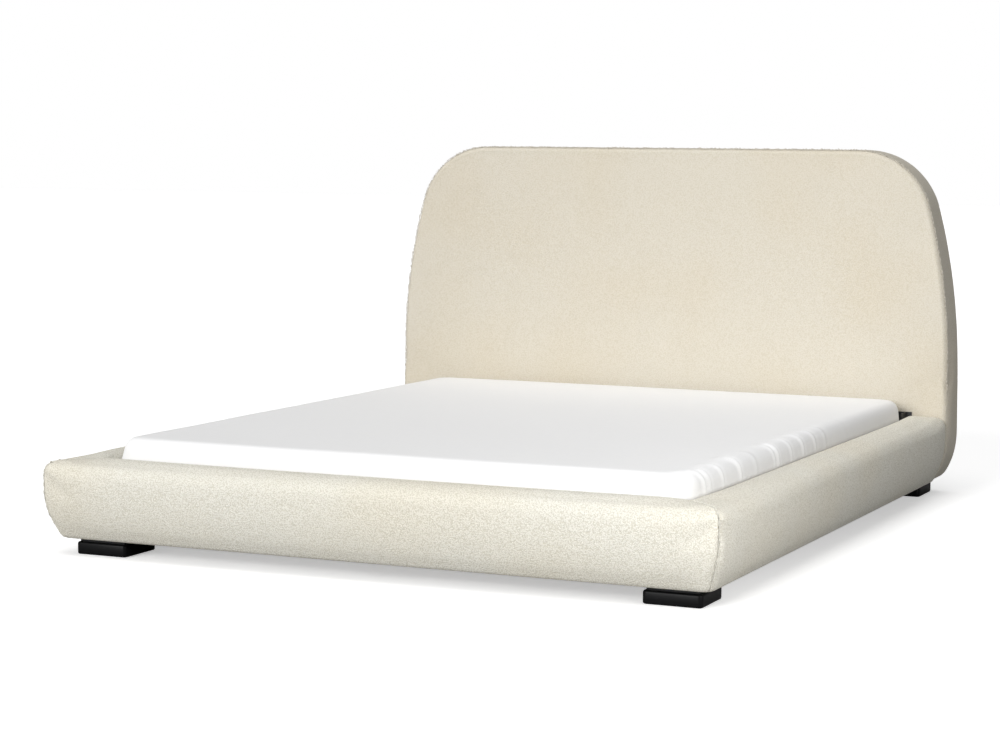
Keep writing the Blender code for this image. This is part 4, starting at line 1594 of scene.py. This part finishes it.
class BED_OT_fittings(Operator):
    """Finish the steel brackets, angles, ledgers and bolts, and set their screws"""

    bl_idname = "bed.fittings"
    bl_label = "Steel fittings"

    def execute(self, context):
        steel = powder_coat()
        names = [f"{kind}_{side}" for kind in ("head_bracket", "corner_angle", "ledger")
                 for side in ("left", "right")]
        names += [f"foot_plate_{row}_{side}" for row in ("front", "rear")
                  for side in ("left", "right")]
        for name in names:
            softened(name, steel, 0.0005)
        zinc = zinc_plate()
        for side in ("left", "right"):
            for level in ("lower", "upper"):
                painted(f"head_bolt_{side}_{level}", zinc)
        self.screws(zinc)
        return {"FINISHED"}

    def screws(self, metal):
        places = []
        for side, label in ((-1, "left"), (1, "right")):
            low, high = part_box(f"ledger_{label}")
            face = side * (max(abs(low.x), abs(high.x)) - PLATE)
            for y in np.linspace(low.y + 0.06, high.y - 0.06, 8):
                places.append(((face, y, low.z + 0.014), (-side, 0, 0)))
            low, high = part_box(f"corner_angle_{label}")
            face = side * (max(abs(low.x), abs(high.x)) - PLATE)
            for height in (low.z + 0.022, high.z - 0.022):
                places.append(((face, high.y - 0.020, height), (-side, 0, 0)))
                inner = side * (min(abs(low.x), abs(high.x)) + 0.020)
                places.append(((inner, low.y + PLATE, height), (0, 1, 0)))
            low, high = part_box(f"head_bracket_{label}")
            face = side * (SIDE_INNER - GAP - PLATE)
            for height in (0.085, 0.155, 0.225):
                places.append(((face, low.y + 0.022, height), (-side, 0, 0)))
        for end in ("foot", "head"):
            low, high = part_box(f"beam_hanger_{end}")
            for side, x in ((-1, low.x), (1, high.x)):
                places.append(((x, (low.y + high.y) / 2, (low.z + high.z) / 2), (side, 0, 0)))
        dots = bpy.data.meshes.new("screw_places")
        dots.from_pydata([place for place, _ in places], [], [])
        facing = dots.attributes.new("facing", "FLOAT_VECTOR", "POINT")
        facing.data.foreach_set("vector", [value for _, way in places for value in way])
        head = screw_head(base().screw)
        screws = grown("screws", dots, screw_tree(metal), {"Head": head, "Scale": 1.0,
                                                           "Seed": SEED}, metal)
        bpy.data.objects.remove(head)
        ridden(screws, "frame")


def foot_outline(low, high, inset, radius):
    """A rounded oblong, so far inside a box's plan, as one closed line."""
    radius = max(radius - inset, 0.001)
    points = []
    for x, y, start in ((high.x - inset - radius, high.y - inset - radius, 0),
                        (low.x + inset + radius, high.y - inset - radius, 90),
                        (low.x + inset + radius, low.y + inset + radius, 180),
                        (high.x - inset - radius, low.y + inset + radius, 270)):
        points += circle((x, y), radius, start, start + 90, 6).tolist()
    return points


class BED_OT_feet(Operator):
    """Make the four low moulded feet under the rails and the headboard"""

    bl_idname = "bed.feet"
    bl_label = "Feet"

    def execute(self, context):
        plastic = moulded_plastic(colours().feet)
        for row in ("front", "rear"):
            for side in ("left", "right"):
                self.foot(f"foot_{row}_{side}", plastic)
        return {"FINISHED"}

    def foot(self, node, plastic):
        low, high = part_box(node)
        tall = high.z
        rows = [(0.030, 0.0015), (0.026, 0.0), (0.005, 0.0), (0.0022, 0.0008), (0.0007, 0.0024),
                (0.0, 0.0048), (0.0, tall - 0.0052), (0.0006, tall - 0.0030),
                (0.0020, tall - 0.0010), (0.0045, tall), (0.0080, tall), (0.0090, tall - 0.0012),
                (0.012, tall - 0.0014)]
        points = []
        faces = []
        previous = None
        for inset, z in rows:
            line = [(x, y, z) for x, y in foot_outline(low, high, inset, 0.012)]
            previous = next_ring(points, faces, previous, line)
        faces += [tuple(range(len(line))), tuple(previous)]
        made = piece_from(f"{node}_moulded", points, faces, plastic)
        face_out(made)
        made.data.set_sharp_from_angle(angle=math.radians(50))
        ridden(made, "frame", (node,))


# --------------------------------------------------------------------------- stage


def soft_light(name, place, aim, size, power):
    """An oblong lamp at a place, turned to an aim and hidden from the camera."""
    data = bpy.data.lights.new(name, "AREA")
    data.shape = "RECTANGLE"
    data.size, data.size_y = size
    data.energy = power
    lamp = bpy.data.objects.new(name, data)
    lamp.location = place
    lamp.rotation_euler = (Vector(aim) - Vector(place)).to_track_quat("-Z", "Y").to_euler()
    lamp.visible_camera = False
    bpy.context.scene.collection.objects.link(lamp)


def wide_light(name, source, strength, spread):
    """Even light from one side of the room: the direction of its source, and its spread."""
    data = bpy.data.lights.new(name, "SUN")
    data.energy = strength
    data.angle = math.radians(spread)
    lamp = bpy.data.objects.new(name, data)
    lamp.rotation_euler = Vector(source).to_track_quat("Z", "Y").to_euler()
    bpy.context.scene.collection.objects.link(lamp)


class BED_OT_stage(Operator):
    """Set the pale floor, the soft studio lights and the camera"""

    bl_idname = "bed.stage"
    bl_label = "Stage"

    def execute(self, context):
        self.floor()
        self.sky(context.scene)
        wide_light("key light", (-0.30, -1.0, 0.36), 2.50, 32)
        wide_light("top light", (0.05, -0.12, 1.0), 1.25, 50)
        soft_light("side softbox", (2.5, -1.75, 0.75), (0.94, -0.6, 0.2), (0.9, 0.5), 22)
        self.camera(context.scene)
        context.scene.view_settings.view_transform = "Standard"
        return {"FINISHED"}

    def floor(self):
        reach = 40.0
        count = 9
        places = np.linspace(-reach, reach, count)
        points = [(x, y, 0.0) for y in places for x in places]

        def draw(net):
            grain = net.noise(net.point(), 3.0, 3.0)
            seen = net.add("ShaderNodeLightPath", out="Is Camera Ray")
            paint = net.mix(grain, (0.93, 0.93, 0.93), (0.95, 0.95, 0.95))
            return {
                "Base Color": net.mix(seen, (0.38, 0.38, 0.38), paint),
                "Roughness": 0.75 + grain * 0.15,
                "Emission Color": net.mix(seen, (0.0, 0.0, 0.0), (1.0, 1.0, 1.0)),
            }

        pale = finish("pale floor", draw, Emission_Strength=0.45, Specular_IOR_Level=0.1)
        floor = piece_from("floor", points, patch_faces(count, count), pale)

    def sky(self, scene):
        world = bpy.data.worlds.new("studio")
        world.use_nodes = True
        scene.world = world
        net = Net(world.node_tree)
        seen = net.add("ShaderNodeLightPath", out="Is Camera Ray")
        back = world.node_tree.nodes["Background"]
        back.inputs["Color"].default_value = (1.0, 1.0, 1.0, 1.0)
        net._join(back.inputs["Strength"], seen * 0.84 + 0.16)

    def camera(self, scene):
        data = bpy.data.cameras.new("camera")
        data.sensor_width = 36.0
        data.lens = 88.14
        data.clip_start = 0.1
        data.clip_end = 200.0
        eye = bpy.data.objects.new("camera", data)
        yaw, pitch, roll = 0.41416, 0.09334, 0.009059
        forward = Vector((-math.sin(yaw) * math.cos(pitch), math.cos(yaw) * math.cos(pitch),
                          -math.sin(pitch)))
        right = Vector((math.cos(yaw), math.sin(yaw), 0.0))
        up = right.cross(forward)
        across = math.cos(roll) * right + math.sin(roll) * up
        upward = -math.sin(roll) * right + math.cos(roll) * up
        turn = np.column_stack([across, upward, -forward])
        eye.matrix_world = Matrix.Translation((2.7091, -6.4637, 1.0778)) @ Matrix(
            turn.tolist()).to_4x4()
        scene.collection.objects.link(eye)
        scene.camera = eye


# --------------------------------------------------------------------------- panel and run


OPERATORS = (
    BED_OT_stage,
    BED_OT_timber,
    BED_OT_fittings,
    BED_OT_feet,
    BED_OT_slatted_base,
    BED_OT_rail_pads,
    BED_OT_headboard,
    BED_OT_back_lining,
    BED_OT_mattress,
    BED_OT_fitted_sheet,
)


class BED_PT_maker(Panel):
    """Lists the steps that build the bed, and the sizes and colours they use"""

    bl_idname = "BED_PT_maker"
    bl_label = "Platform bed"
    bl_space_type = "VIEW_3D"
    bl_region_type = "UI"
    bl_category = "Bed"

    def draw(self, context):
        layout = self.layout
        for operator in OPERATORS:
            layout.operator(operator.bl_idname, text=operator.bl_label)
        for label, name in GROUPS:
            box = layout.box()
            box.label(text=label)
            group = getattr(context.scene, name)
            for key in group.__annotations__:
                box.prop(group, key)


GROUPS = (
    ("Padding and cloth", "bed_covers"),
    ("Bedding", "bed_bedding"),
    ("Slatted base", "bed_base"),
    ("Colours", "bed_colours"),
)
SETTINGS = (CoverSizes, BeddingSizes, BaseSizes, Colours)


def register():
    for item in SETTINGS + OPERATORS + (BED_PT_maker,):
        bpy.utils.register_class(item)
    for (_, name), kind in zip(GROUPS, SETTINGS):
        setattr(bpy.types.Scene, name, PointerProperty(type=kind))


def unregister():
    for _, name in GROUPS:
        delattr(bpy.types.Scene, name)
    for item in reversed(SETTINGS + OPERATORS + (BED_PT_maker,)):
        bpy.utils.unregister_class(item)


def main():
    register()
    for operator in OPERATORS:
        group, name = operator.bl_idname.split(".")
        getattr(getattr(bpy.ops, group), name)()


if __name__ == "__main__":
    main()
